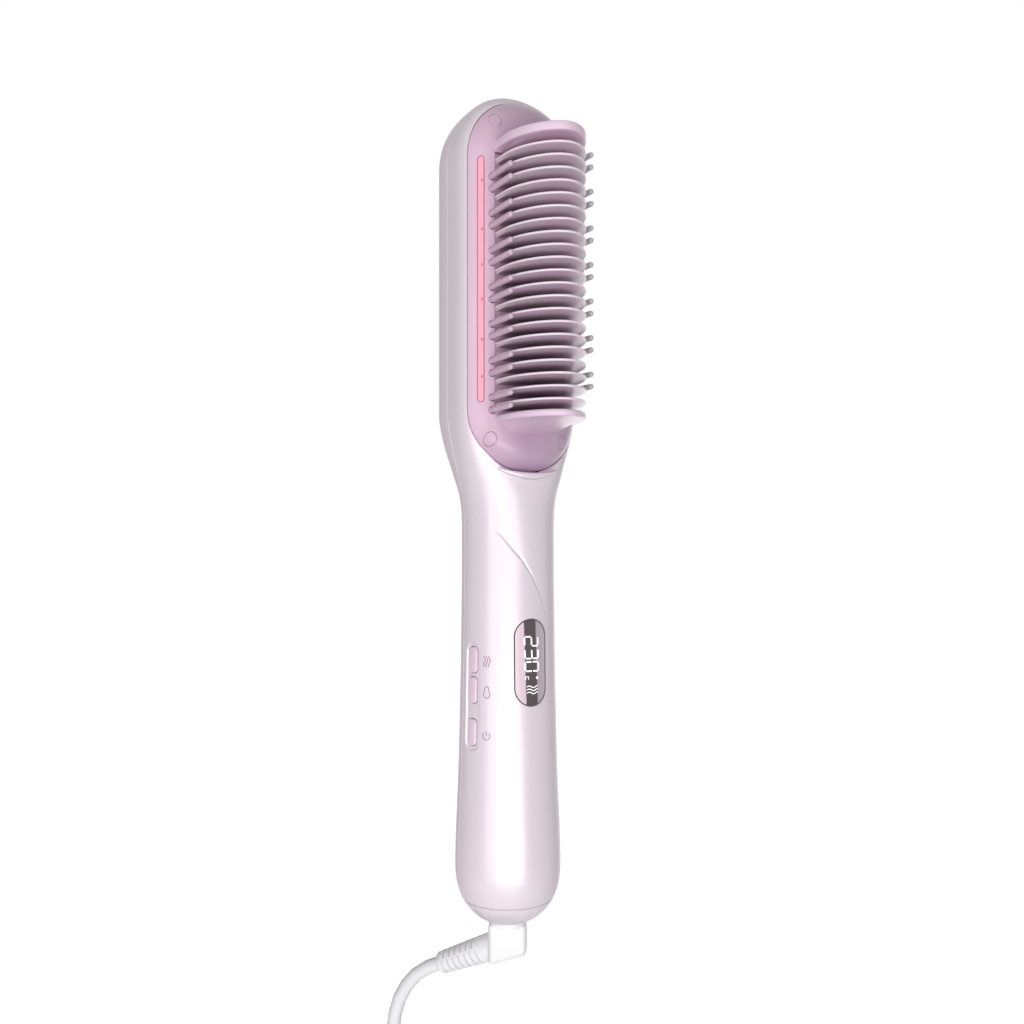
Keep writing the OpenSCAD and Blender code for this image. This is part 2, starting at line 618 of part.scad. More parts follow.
module steam_manifold() color(white_c) up() difference() {
  union() {
    translate([-ledge_in + 0.25, -manifold_y, comb_mid - manifold_l / 2])
      cube([ledge_in - 0.25 - 14.2, 3.6, manifold_l]);
    translate([-14.4, -chamber_y + 2.6, comb_mid]) rotate([0, 90, 0]) cylinder(h = 2.35, r = 1.6);
  }
  translate([-ledge_in + 1.1, -manifold_y + 0.9, comb_mid - manifold_l / 2 + 1])
    cube([ledge_in - 16.2, 1.8, manifold_l - 2]);
  translate([-17, -chamber_y + 2.6, comb_mid]) rotate([0, 90, 0]) cylinder(h = 9, r = 0.8);
  for (h = outlet_h) translate([-ledge_in + 1.6, -manifold_y + 1.5, comb_mid + 0.7 + h]) rotate([90, 0, 0])
    cylinder(h = 4, r = outlet_r);
}
module thermal_fuse() color([0.8, 0.75, 0.5]) up()
  translate([4, -chamber_y + 7 + 1.6, comb_mid - 6]) cylinder(h = 12, r = 1.55);

// Tube swept along points
function unit(v) = v / norm(v);
function heading(p, i) = unit(i == 0 ? p[1] - p[0] : i == len(p) - 1 ? p[i] - p[i - 1] :
  unit(p[i + 1] - p[i]) + unit(p[i] - p[i - 1]));
module sweep(p, r, n) {
  m = len(p);
  polyhedron(points = [for (i = [0:m - 1]) let (t = heading(p, i), a = unit(cross(t, abs(t[1]) > 0.8 ? [1, 0, 0] : [0, 1, 0])),
      b = cross(t, a)) for (k = [0:n - 1]) p[i] + r * (cos(360 * k / n) * a + sin(360 * k / n) * b)],
    faces = concat([[for (k = [0:n - 1]) k]], [[for (k = [n - 1:-1:0]) (m - 1) * n + k]],
      [for (i = [0:m - 2]) for (k = [0:n - 1]) for (f = [[0, n, n + (k + 1) % n - k], [0, n + (k + 1) % n - k, (k + 1) % n - k]])
        [i * n + k + f[0], i * n + k + f[1], i * n + k + f[2]]]));
}
lead_r = 0.8;
contact_top = cap_h + 18;
module mains_leads() color([0.3, 0.3, 0.55]) up() for (x = [-1, 1])
  translate([x * 2.8, -1.3, contact_top]) cylinder(h = board_h - contact_top, r = lead_r);
module heater_leads() color([0.75, 0.2, 0.2]) up() for (s = [-1, 1])
  sweep([[s * 2.6 + 2, -1.3, board_h + board_l], [s * 2.6 + 2, -1.3, board_h + board_l + 1.5],
    [s * 12.1, -0.6, tank_h - 1.6], [s * 12.2, 0, tank_h + 3], [s * 12.2, 0, handle_l + 4],
    [s * 12, -1, handle_l + 15], [s * 7, -heater_y + 1.1, comb_mid - heater_l / 2 - 6],
    [s * 5, -heater_y + 1.1, comb_mid - heater_l / 2 - 3], [s * 5, -heater_y + 1.1, comb_mid - heater_l / 2]],
    lead_r, 8);

module swivel_bush() color(metal_c) up() difference() {
  union() {
    translate([0, 0, collar_h + block_gap]) cylinder(h = cap_h - 1.5, r = bush_r);
    translate([0, 0, cap_h + eps]) cylinder(h = 2, r = bush_r + 1.5);
  }
  translate([0, 0, -1]) cylinder(h = cap_h + 9, r = stem_r + stem_gap);
}
clip_h = cap_h + 2.3;
module contact_block() color(dark_c) up() difference() {
  translate([0, 0, cap_h + 2.1]) cylinder(h = contact_top - cap_h - 2.1, r = bush_r + 2);
  translate([0, 0, cap_h]) cylinder(h = 7, r = bush_r - 0.2);
}
module swivel_clip() color(metal_c) up() translate([0, 0, clip_h]) difference() {
  cylinder(h = 1, r = stem_r + 1.5);
  translate([0, 0, -1]) cylinder(h = 3, r = stem_r - 0.4);
  translate([0, -stem_r + 1.2, -1]) cube([20, 2 * stem_r - 2.4, 4]);
}
boot_z = -9.4;
module to_cord() rotate([0, 0, -cord_turn]) children();
module along_boot(s) translate([-block_l / 2 - s * cos(boot_fall), 0, boot_z - s * sin(boot_fall)])
  rotate([0, -90 - boot_fall, 0]) children();
function boot_rad(s) = boot_r + (boot_tip_r - boot_r) * s / boot_l;
module swivel_block() color(white_c) up() difference() {
  union() {
    translate([0, 0, -1]) cylinder(h = cap_h + 5, r = stem_r);
    translate([0, 0, -1]) cylinder(h = collar_h + 1, r = collar_r);
    to_cord() difference() {
      translate([0, 0, -18]) linear_extrude(18 + block_top) pill(block_l, block_w, block_corner);
      translate([block_l / 2, -15, -10.2]) rotate([0, -17, 0]) translate([-40, 0, -20]) cube([60, 30, 20]);
    }
  }
  translate([0, 0, clip_h]) difference() {
    cylinder(h = 1, r = stem_r + 4);
    translate([0, 0, -1]) cylinder(h = 3, r = stem_r - 0.4 - eps);
  }
  to_cord() along_boot(-4) cylinder(h = 20, r = boot_rad(0) + eps);
}
module strain_relief() color(white_c) up() to_cord() difference() {
  along_boot(0) rotate_extrude() polygon([[0, -4], [boot_r, -4], [boot_r, 0], [boot_tip_r, boot_l], [0, boot_l]]);
  for (i = [0:6]) rib_slot(boot_l - 1.4 - i * boot_pitch, -61);
  for (i = [0:6]) rib_slot(boot_l - 2.8 - i * boot_pitch, 119);
}
module rib_slot(s, turn) along_boot(s) rotate([0, 0, turn]) rotate_extrude(angle = 170)
  translate([boot_rad(s) - 1, 0]) square([4, 0.6]);

// Cord route, in the plane of the strain relief: distance to the left, height
boot_end = [block_l / 2 + boot_l * cos(boot_fall), boot_z - boot_l * sin(boot_fall)];
cord_route = [[32, -21], [37, -24.5], [41, -29], [44.2, -34.5], [46.2, -41], [47, -48], [47, -60],
  [47, -74]];
module cord_upper() color(cord_c) up() to_cord() sweep(concat([[-boot_end[0], 0, boot_end[1]]],
  [for (q = cord_route) [-q[0], 0, q[1]]], [[-47, 0, hank_h + run_l / 2]]), cord_d / 2, 10);

// Hank: loops spiral inwards in one layer and out again in the next
hank_h = -130;
run_l = 84;
hank_outer = 33;
hank_step = 6.6;
hank_waist = 9;
hank_turns = 5.25;
hank_x = -47 + hank_outer;
function fold_r(t) = hank_outer - hank_step * min(t, hank_turns - t);
function hank_y(t) = hank_step * (t < 2.5 ? 0 : t > 2.75 ? 1 : (1 - cos((t - 2.5) * 720)) / 2);
function drawn(z) = hank_waist * pow(cos(180 * z / run_l), 2);
function hank_point(t) = let (f = t - floor(t), r = fold_r(t))
  f < 0.25 ? let (z = run_l * (0.5 - f * 4)) [-(r - drawn(z)), hank_y(t), z] :
  f < 0.5 ? let (a = (f - 0.25) * 720) [-r * cos(a), hank_y(t), -run_l / 2 - r * sin(a)] :
  f < 0.75 ? let (z = run_l * (4 * f - 2.5)) [r - drawn(z), hank_y(t), z] :
  let (a = (f - 0.75) * 720) [r * cos(a), hank_y(t), run_l / 2 + r * sin(a)];
hank_rings = [for (i = [0:24 * hank_turns]) [hank_x, 0, hank_h] + hank_point(i / 24)];
hank_end = hank_rings[len(hank_rings) - 1] - [0, 0, cord_d];
hank_path = concat([hank_rings[0] + [0, 0, 0]], [hank_rings[0] - [0, 0, 2]], [for (i = [1:len(hank_rings) - 1]) hank_rings[i]],
  [hank_end]);
module cord_hank() color(cord_c) up() to_cord() sweep(hank_path, cord_d / 2, 6);

module hank_tie() color(dark_c) up() to_cord() translate([hank_x, hank_step / 2, hank_h - 5]) linear_extrude(10)
  difference() {
    pill(2 * tie_x + 2.4, 2 * tie_y + 2.4, 3);
    pill(2 * tie_x, 2 * tie_y, 2);
  }
tie_x = hank_outer - hank_waist + cord_d / 2 + 0.9;
tie_y = hank_step / 2 + cord_d / 2 + 0.25;

tail_l = 38;
plug_top = hank_end[2] - tail_l;
module cord_lower() color(cord_c) up() to_cord() sweep([for (i = [0:4]) hank_end - [0, 0, tail_l * i / 4]], cord_d / 2, 10);
module at_plug() to_cord() translate([hank_end[0], hank_end[1], plug_top]) rotate([0, 0, cord_turn]) children();
plug_l = 36;
module plug_body() color(white_c) up() at_plug() difference() {
  union() {
    translate([0, 0, -plug_l]) linear_extrude(plug_l - 12) pill(plug_w, plug_t, 4);
    translate([0, 0, -12.1]) cylinder(h = 8, r1 = plug_t / 2, r2 = 5);
    translate([0, 0, -6]) cylinder(h = 6, r1 = 5, r2 = 4);
  }
  for (s = [-1, 1]) translate([s * plug_spacing / 2, 0, -plug_l - 1]) cylinder(h = 9, r = plug_pin_r - 0.2 + eps);
}
module plug_pins() color(metal_c) up() at_plug() for (s = [-1, 1])
  translate([s * plug_spacing / 2, 0, -plug_l - plug_pin_l]) {
    translate([0, 0, 1]) cylinder(h = plug_pin_l - 1.3, r = plug_pin_r);
    translate([0, 0, plug_pin_l - 1]) cylinder(h = 9, r = plug_pin_r - 0.2);
    cylinder(h = 1, r1 = plug_pin_r - 0.7, r2 = plug_pin_r);
  }

hank_gap = min([for (i = [0:len(hank_rings) - 1]) for (j = [i + 8:1:len(hank_rings) - 1])
  norm(hank_rings[i] - hank_rings[j])]) - cord_d;
echo(hank_gap = hank_gap);

front_shell();
rear_shell();
end_cap();
face_plate();
heater_comb();
top_guard();
bottom_guard();
left_pins();
right_pins();
steam_strip();
screw_caps();
plate_screws();
display_window();
display_module();
steam_button();
temperature_button();
power_button();
tact_switches();
button_board();
main_board();
chassis();
water_tank();
filler_stopper();
water_tubes();
pump();
steam_chamber();
steam_manifold();
ceramic_heater();
heater_clamp();
thermal_fuse();
mains_leads();
heater_leads();
swivel_bush();
contact_block();
swivel_clip();
swivel_block();
strain_relief();
cord_upper();
cord_hank();
hank_tie();
cord_lower();
plug_body();
plug_pins();
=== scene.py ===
"""Surfaces, finishes and studio for the steam straightening brush.

Shapes are worked out in millimetres, with heights counted from the bottom end of the handle,
and put into the frame in metres by place(). The comb faces -Y and the buttons face -X.
"""
import math

import bpy
from mathutils import Matrix, Vector


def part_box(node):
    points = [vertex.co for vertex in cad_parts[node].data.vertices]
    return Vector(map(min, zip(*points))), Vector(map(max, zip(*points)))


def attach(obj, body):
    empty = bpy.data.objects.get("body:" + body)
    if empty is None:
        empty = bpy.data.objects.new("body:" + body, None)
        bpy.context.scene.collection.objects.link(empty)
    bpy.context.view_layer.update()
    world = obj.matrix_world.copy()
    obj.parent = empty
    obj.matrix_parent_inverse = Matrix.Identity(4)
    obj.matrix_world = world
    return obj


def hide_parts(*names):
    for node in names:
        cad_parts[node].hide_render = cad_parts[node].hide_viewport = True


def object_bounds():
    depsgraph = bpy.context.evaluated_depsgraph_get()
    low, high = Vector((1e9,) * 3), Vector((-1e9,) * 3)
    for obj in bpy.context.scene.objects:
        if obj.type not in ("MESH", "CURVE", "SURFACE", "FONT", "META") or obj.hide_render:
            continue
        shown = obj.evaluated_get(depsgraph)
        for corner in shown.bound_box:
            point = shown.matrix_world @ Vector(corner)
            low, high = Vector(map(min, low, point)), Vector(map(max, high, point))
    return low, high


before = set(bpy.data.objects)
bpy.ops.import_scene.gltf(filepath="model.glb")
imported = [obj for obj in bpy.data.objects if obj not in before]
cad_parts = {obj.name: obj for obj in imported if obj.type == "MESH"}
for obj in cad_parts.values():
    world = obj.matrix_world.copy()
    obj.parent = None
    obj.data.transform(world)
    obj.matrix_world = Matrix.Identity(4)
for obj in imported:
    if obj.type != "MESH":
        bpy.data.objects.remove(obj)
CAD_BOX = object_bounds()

bl_info = {
    "name": "Steam straightening brush",
    "version": (1, 0, 0),
    "blender": (4, 5, 0),
    "location": "3D View > Sidebar > Brush",
    "description": "Housing, comb, display, buttons, cord and studio of a steam straightening brush",
    "category": "Add Mesh",
}

MM = 0.001
GRIP_H = 60.0
FULL_TURN = 2 * math.pi


def place(x, y, h):
    """Frame point of a place given in millimetres, h above the bottom end."""
    return Vector((x * MM, y * MM, (h - GRIP_H) * MM))


def node_box(node):
    """Lowest and highest corner of a node in millimetres, heights above the bottom end."""
    low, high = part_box(node)
    return [Vector((p.x / MM, p.y / MM, p.z / MM + GRIP_H)) for p in (low, high)]


def shade(red, green, blue):
    """Linear colour of a shade given in 8-bit steps."""
    steps = (red / 255, green / 255, blue / 255)
    return tuple(c / 12.92 if c <= 0.04045 else ((c + 0.055) / 1.055) ** 2.4 for c in steps)


PLATE_LOW, PLATE_HIGH = node_box("face_plate")
PLATE_R = (PLATE_HIGH.x - PLATE_LOW.x) / 2
PLATE_L = PLATE_HIGH.z - PLATE_LOW.z
PLATE_MID = (PLATE_HIGH.z + PLATE_LOW.z) / 2
HANDLE_L = PLATE_LOW.z
CROWN_Y = -PLATE_LOW.y
HEAD_TOP_IN = 1.0
BODY_H = node_box("front_shell")[1].z - HEAD_TOP_IN
FIN_PITCH = 4.1
PIN_X = 15.5
PIN_R = 1.0


def length(title, text, value):
    """Size shown in the panel, given in millimetres and kept in metres."""
    return bpy.props.FloatProperty(name=title, description=text, default=value * MM, unit="LENGTH")


def colour(title, text, value):
    """Colour shown in the panel, given in 8-bit steps and kept linear."""
    return bpy.props.FloatVectorProperty(
        name=title, description=text, default=shade(*value), subtype="COLOR", size=3, min=0, max=1)


class BrushSizes(bpy.types.PropertyGroup):
    foot_r: length("Foot radius", "Handle radius at its thick lower end", 18.6)
    neck_r: length("Neck radius", "Handle radius at its slim upper part", 16.2)
    head_front: length("Head front", "Depth of the head in front of the axis", 14.0)
    head_back: length("Head back", "Depth of the head behind the axis", 16.5)
    wall: length("Wall", "Wall of the housing", 2.0)
    part_y: length("Parting plane", "Distance of the parting plane behind the axis", 2.0)
    cap_h: length("End cap", "Height of the end cap", 9.3)
    crown: length("Plate crown", "Height of the plate's crown above its edge", 6.8)
    plate_t: length("Plate thickness", "Thickness of the face plate", 2.0)
    fin_pitch: length("Fin pitch", "Distance from fin to fin", FIN_PITCH)
    fin_w: length("Fin width", "Width of the fins", 27.7)
    fin_reach: length("Fin reach", "How far the fins stand before the plate's crown", 25.2)
    fin_nose: length("Fin nose", "Depth of the fins' rounded nose", 19.6)
    pin_x: length("Pin rows", "Distance of the pin rows from the middle", PIN_X)
    pin_r: length("Pin radius", "Radius of the pins", PIN_R)
    window_w: length("Window width", "Width of the display window", 12.5)
    window_l: length("Window length", "Length of the display window", 30.0)
    window_h: length("Window height", "Height of the window's middle", 93.0)
    recess_h: length("Recess height", "Height of the button recess's middle", 81.0)
    button_l: length("Button length", "Length of each button", 9.0)
    button_w: length("Button width", "Width of each button", 4.1)
    block_l: length("Swivel reach", "Twice the way from the swivel's axis to the strain relief", 12.0)
    block_w: length("Swivel width", "Width of the swivel block", 11.0)
    boot_l: length("Strain relief", "Length of the strain relief", 22.5)
    boot_r: length("Strain relief foot", "Radius of the strain relief at the block", 5.0)
    boot_tip_r: length("Strain relief tip", "Radius of the strain relief at its tip", 3.9)
    cord_d: length("Cord", "Diameter of the cord", 5.2)


class BrushColours(bpy.types.PropertyGroup):
    shell: colour("Shell", "Pearl paint of the housing", (233, 223, 230))
    plate: colour("Plate", "Lilac of the face plate and guards", (204, 170, 193))
    fins: colour("Fins", "Coat of the heated fins", (246, 228, 240))
    pins: colour("Pins", "Cool pins beside the comb", (222, 196, 214))
    strip: colour("Steam strip", "Strip with the steam outlets", (252, 168, 188))
    button: colour("Buttons", "Push buttons", (248, 222, 238))
    marks: colour("Marks", "Printed marks beside the buttons", (182, 138, 160))
    band: colour("Display band", "Dark band of the display", (38, 26, 33))
    white: colour("White", "Swivel block, strain relief and plug", (252, 252, 253))
    cord: colour("Cord", "Sleeve of the cord", (248, 248, 250))


def sizes():
    """All sizes in millimetres, by name."""
    group = bpy.context.scene.brush_sizes
    return {name: getattr(group, name) / MM for name in BrushSizes.__annotations__}


def tint(name):
    """Linear colour of that name in the panel."""
    return tuple(getattr(bpy.context.scene.brush_colours, name))


# Modelling helpers

def select_only(obj):
    """Makes one object the only selected and the active one."""
    bpy.ops.object.select_all(action="DESELECT")
    obj.select_set(True)
    bpy.context.view_layer.objects.active = obj


def edited(obj, *steps, action="SELECT"):
    """Runs mesh operators with their settings in edit mode, with all or nothing selected."""
    select_only(obj)
    bpy.ops.object.mode_set(mode="EDIT")
    bpy.ops.mesh.select_all(action=action)
    for step, settings in steps:
        step(**settings)
    bpy.ops.object.mode_set(mode="OBJECT")
    return obj


def new_object(name, points, faces):
    """Object in the scene from places in metres and faces."""
    mesh = bpy.data.meshes.new(name)
    mesh.from_pydata([tuple(p) for p in points], [], faces)
    obj = bpy.data.objects.new(name, mesh)
    bpy.context.scene.collection.objects.link(obj)
    return obj


def tidy_mesh(obj, merge=0.002):
    """Merges doubles and turns all faces outwards."""
    return edited(obj, (bpy.ops.mesh.remove_doubles, {"threshold": merge * MM}),
                  (bpy.ops.mesh.normals_make_consistent, {"inside": False}))


def slab(width, depth, tall, y, h):
    """Block of a size with its middle at (0, y, h)."""
    bpy.ops.mesh.primitive_cube_add(size=1)
    obj = bpy.context.object
    obj.data.transform(Matrix.Diagonal((width * MM, depth * MM, tall * MM, 1)))
    obj.data.transform(Matrix.Translation(place(0, y, h)))
    return obj


def loft(name, rings, ends=True, shade_tags=()):
    """Closed skin over rings of places (x, y, h). Shade tags are the values of one ring's places, kept in
    the edge attribute that steers painted shade.
    """
    count = len(rings[0])
    last = (len(rings) - 1) * count
    points = [place(*p) for ring in rings for p in ring]
    faces = [(row + j, row + (j + 1) % count, row + count + (j + 1) % count, row + count + j)
             for row in range(0, last, count) for j in range(count)]
    if ends:
        faces += [list(range(count))[::-1], [last + j for j in range(count)]]
    skin = new_object(name, points, faces)
    if shade_tags:
        # The edge attribute holds the share from blade root to rim, which the painted shade of fins and
        # guards follows
        edge = skin.data.attributes.new("edge", "FLOAT", "POINT")
        edge.data.foreach_set("value", list(shade_tags) * len(rings))
    return tidy_mesh(skin)


def turned(name, profile, steps, matrix):
    """Profile of (radius, height) pairs spun round Z, then carried by a matrix."""
    obj = new_object(name, [(r * MM, 0, z * MM) for r, z in profile], [])
    mesh = obj.data
    mesh.edges.add(len(profile) - 1)
    for i, edge in enumerate(mesh.edges):
        edge.vertices = (i, i + 1)
    whole = {"steps": steps, "angle": FULL_TURN, "center": (0, 0, 0), "axis": (0, 0, 1)}
    tidy_mesh(edited(obj, (bpy.ops.mesh.spin, whole)))
    mesh.transform(matrix)
    return obj


def joined(name, parts):
    """Two or more objects made into one."""
    select_only(parts[0])
    for part in parts[1:]:
        part.select_set(True)
    bpy.ops.object.join()
    parts[0].name = name
    return parts[0]


def copy_of(obj, name, shift):
    """Copy of an object, moved by a shift in metres."""
    twin = obj.copy()
    twin.data = obj.data.copy()
    twin.name = name
    twin.data.transform(Matrix.Translation(shift))
    bpy.context.scene.collection.objects.link(twin)
    return twin


def apply_modifier(obj, kind, **settings):
    """Adds a modifier with its settings and applies it."""
    select_only(obj)
    modifier = obj.modifiers.new(kind.title(), kind)
    for key, value in settings.items():
        setattr(modifier, key, value)
    bpy.ops.object.modifier_apply(modifier=modifier.name)
    return obj


def carve(obj, *cutters):
    """Takes the cutters out of an object, one after the other."""
    for cutter in cutters:
        apply_modifier(obj, "BOOLEAN", operation="DIFFERENCE", solver="EXACT", object=cutter)
        bpy.data.objects.remove(cutter)
    return obj


def piece(obj, material, body, slot, *nodes, angle=32):
    """Gives a finished piece its shading, finish and body."""
    select_only(obj)
    bpy.ops.object.shade_smooth_by_angle(angle=math.radians(angle))
    obj.data.materials.clear()
    obj.data.materials.append(material)
    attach(obj, body)
    if nodes:
        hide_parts(*nodes)
    return obj


def smooth_table(x, table):
    """Value at x of a smooth, unbroken curve through a table of pairs."""
    if x <= table[0][0]:
        return table[0][1]
    if x >= table[-1][0]:
        return table[-1][1]
    i = max(k for k in range(len(table) - 1) if table[k][0] <= x)
    slopes = [(b[1] - a[1]) / (b[0] - a[0]) for a, b in zip(table, table[1:])]

    def lean(k):
        if k == 0 or k == len(table) - 1 or slopes[k - 1] * slopes[k] <= 0:
            return 0.0
        return 2 * slopes[k - 1] * slopes[k] / (slopes[k - 1] + slopes[k])

    (x0, y0), (x1, y1) = table[i], table[i + 1]
    w = x1 - x0
    t = (x - x0) / w
    return ((2 * t ** 3 - 3 * t ** 2 + 1) * y0 + (t ** 3 - 2 * t ** 2 + t) * w * lean(i)
            + (3 * t ** 2 - 2 * t ** 3) * y1 + (t ** 3 - t ** 2) * w * lean(i + 1))


# Housing

FOOT_DOME = 21.0
FOOT_POWER = 2.2
HEAD_DOME = 25.0
HEAD_R = PLATE_R + 1.8
HEAD_SHARE = ((-20, 0), (-12, 0.04), (-9, 0.09), (-5, 0.21), (-2, 0.32), (2, 0.46), (7, 0.66),
              (12, 0.82), (16, 0.93), (20, 1))
SQUARENESS = ((-16, 2), (-8, 2.1), (0, 2.6), (7, 3.2), (14, 3.8), (20, 4))
SQUARE_FALL = 3.5
SHOULDER = -16
SEAM_GAP = 0.06
SEAM_EDGE = 0.07


class Housing:
    """Outline of the housing at each height, in millimetres."""

    def __init__(self, size):
        self.size = size
        self.dome_h = BODY_H - HEAD_DOME
        self.plate_y = CROWN_Y - size["crown"]
        neck, front = size["neck_r"], size["head_front"]
        self.handle = ((FOOT_DOME, size["foot_r"]), (57, size["foot_r"] - 1.2), (100, neck + 0.3),
                       (130, neck))
        self.front = ((-16, neck), (-8, neck - 0.1), (-4, neck - 0.5), (0, self.plate_y + 4.9),
                      (4, self.plate_y + 4.1), (12, front - 0.2), (20, front))

    def handle_r(self, h):
        """Radius of the round handle, which closes in a dome at the foot."""
        foot = 1.0
        if h < FOOT_DOME:
            foot = (1 - (1 - max(h, 0) / FOOT_DOME) ** FOOT_POWER) ** (1 / FOOT_POWER)
        return foot * smooth_table(h, self.handle)

    def top_share(self, h, inset, power):
        """Share of the head's width or depth that is left within its dome."""
        if h <= self.dome_h:
            return 1.0
        return (1 - min(1, (h - self.dome_h) / (HEAD_DOME - inset)) ** power) ** (1 / power)

    def section(self, h, inset):
        """Half width, front depth, back depth and squareness."""
        up = h - HANDLE_L
        head, radius, neck = smooth_table(up, HEAD_SHARE), self.handle_r(h), self.size["neck_r"]
        front = radius if up < SHOULDER else smooth_table(up, self.front)
        back = radius + (self.size["head_back"] - neck) * head
        fall = max(0, (h - self.dome_h) / HEAD_DOME) ** SQUARE_FALL
        return ((radius + (HEAD_R - neck) * head - inset) * self.top_share(h, inset, 2),
                (front - inset) * self.top_share(h, inset, 2.3),
                (back - inset) * self.top_share(h, inset, 2.4),
                2 + (smooth_table(up, SQUARENESS) - 2) * (1 - fall))

    def half_outline(self, h, inset, front, shares, edge=0.0):
        """Points at shares of the way from the right seam round the front or the back to the left one."""
        a, d, b, n = self.section(h, inset)
        part = min(self.size["part_y"], b * 0.9)
        start = math.asin((part / b) ** (n / 2))

        def corner(t, depth):
            c, s = math.cos(t), math.sin(t)
            return (math.copysign(a * abs(c) ** (2 / n), c), depth * abs(s) ** (2 / n))

        if front:
            side = [corner(start * (1 - k / 4), b) for k in range(4)]
            points = side + [corner(math.pi * share, -d) for share in shares]
            points += [(-x, y) for x, y in reversed(side)]
        else:
            points = [corner(start + (math.pi - 2 * start) * share, b) for share in shares]
        if edge:
            sign = -1 if front else 1
            lip = part + sign * min(SEAM_GAP, a * 0.01)
            x, fall = points[0][0], min(edge, a * 0.1)
            points[0], points[-1] = (x, lip + sign * fall), (-x, lip + sign * fall)
            points = [(x - fall, lip)] + points + [(fall - x, lip)]
        return points


CREASE = ((-51.4, 138.1), (-41.1, 136.7), (-25.3, 131.9), (-11.2, 127.4), (2.0, 121.8), (11.9, 116.6),
          (26.2, 109.1))
CREASE_H = 124
CREASE_REACH = 30
CREASE_DEPTH = 0.6
CREASE_STEP = 0.4


def crease(x, y, h):
    """How far the soft crease above the window draws the surface in."""
    turn = math.degrees(math.atan2(x, -y))
    if not CREASE[0][0] < turn < CREASE[-1][0] or abs(h - CREASE_H) > CREASE_REACH:
        return 0.0
    above = (h - smooth_table(turn, CREASE)) * 0.85
    along = (turn - CREASE[0][0]) / (CREASE[-1][0] - CREASE[0][0])
    depth = CREASE_DEPTH * math.sin(math.pi * along) ** 0.6
    if above < -CREASE_STEP:
        return 0.0
    if above < CREASE_STEP:
        t = (above + CREASE_STEP) / (2 * CREASE_STEP)
        return depth * t * t * (3 - 2 * t)
    return depth * (0.28 * math.exp(-((above - CREASE_STEP) / 0.7) ** 2)
                    + 0.72 * math.exp(-((above - CREASE_STEP) / 6) ** 1.4))


def creased(x, y, h):
    """Point of the front shell's outline with the crease drawn in."""
    share = 1 - crease(x, y, h) / math.hypot(x, y)
    return (x * share, y * share)


def shell_heights(house):
    """Outer and inner height of each station of the shells, with the inset of the outer skin."""
    cap_h = house.size["cap_h"]
    low = [(cap_h + 0.04, 0.14), (cap_h + 0.12, 0.04), (cap_h + 0.4, 0.0)]
    low += [(cap_h + 0.4 + (FOOT_DOME - cap_h - 0.4) * k / 12, 0.0) for k in range(1, 13)]
    low += [(FOOT_DOME + 3.5 * k, 0.0) for k in range(1, 24)]
    crease_part = [(103.5 + 0.38 * k, 0.0) for k in range(98)]
    neck = [(141 + 1.1 * k, 0.0) for k in range(36)]
    head = [(180 + 4.5 * k, 0.0) for k in range(1, 19)] + [(house.dome_h, 0.0)]
    outer = [s for s in low + crease_part + neck + head if s[0] <= house.dome_h]
    pairs = [(h, h, inset) for h, inset in outer]
    for k in list(range(1, 30)) + [29.6]:
        rise = math.sin(math.radians(3 * k))
        pairs.append((house.dome_h + HEAD_DOME * rise,
                      house.dome_h + (HEAD_DOME - house.size["wall"]) * rise, 0.0))
    return pairs


def shell_half(house, name, front):
    """Front or rear shell as one closed skin: outer surface, rims and inner surface."""
    if front:
        turns = [2.2 * k for k in range(28)] + [60 + 0.75 * k for k in range(114)]
        turns += [147 + 2.2 * k for k in range(15)]
        shares = [turn / 180 for turn in turns] + [1.0]
    else:
        shares = [k / 72 for k in range(73)]
    inner_shares = [k / 40 for k in range(41)]
    rings = []
    for outer_h, inner_h, inset in shell_heights(house):
        outside = house.half_outline(outer_h, inset, front, shares, edge=SEAM_EDGE)
        if front:
            outside = [creased(x, y, outer_h) for x, y in outside]
        inside = house.half_outline(inner_h, house.size["wall"], front, inner_shares)
        rings.append([(x, y, outer_h) for x, y in outside] + [(x, y, inner_h) for x, y in reversed(inside)])
    return loft(name, rings)


PLATE_RISE = 2.6
PLATE_RISE_L = 17
PLATE_TOP_IN = 0.7


def plate_rise(h):
    """How far the plate's lower end comes forward to meet the handle."""
    t = min(max((HANDLE_L + PLATE_RISE_L - h) / PLATE_RISE_L, 0), 1)
    return PLATE_RISE * t * t * (3 - 2 * t)


def plate_rings(profile, level=-100.0, arc=44, side=40):
    """Rings of the plate's plan for (radius, depth) pairs. Those above a level rise at the lower end."""
    half = PLATE_L / 2 - PLATE_R
    rings = []
    for r, y in profile:
        ring = []
        for sign, start, end in ((1, half - PLATE_TOP_IN, -half), (-1, -half, half - PLATE_TOP_IN)):
            for k in range(arc + 1):
                a = math.pi * k / arc
                ring.append((sign * r * math.cos(a), -y, PLATE_MID + start + sign * r * math.sin(a)))
            ring += [(-sign * r, -y, PLATE_MID + start + (end - start) * k / side) for k in range(1, side)]
        rings.append([(x, y - (plate_rise(h) if -y > level else 0), h) for x, y, h in ring])
    return rings


def plaque(name, width, long, corner, floor, top, surface, edge=0.0, crown=0.0):
    """Rounded plan standing on a surface from floor to top, with a rounded edge and a crown."""
    half = min(width, long) / 2
    spans = (1, 0.8, 0.6, 0.42, 0.27, 0.15, 0.07)
    levels = [(half * s, floor) for s in spans] + [(0.0, floor)]
    rise = top - edge
    levels += [(edge * (1 - math.cos(a)), rise + edge * math.sin(a))
               for a in (math.radians(15 * k) for k in range(7))] if edge else [(0.0, top)]
    start = levels[-1][0]
    levels += [(start + (half - start) * s, top) for s in reversed(spans)]
    rings = []
    for index, (inset, out) in enumerate(levels):
        bulge = crown * (1 - (1 - inset / half) ** 2) if index > len(spans) else 0.0
        outline = plan_ring(width, long, corner, inset)
        rings.append([surface(p, q, out + bulge) for p, q in outline])
    return loft(name, rings, ends=False)


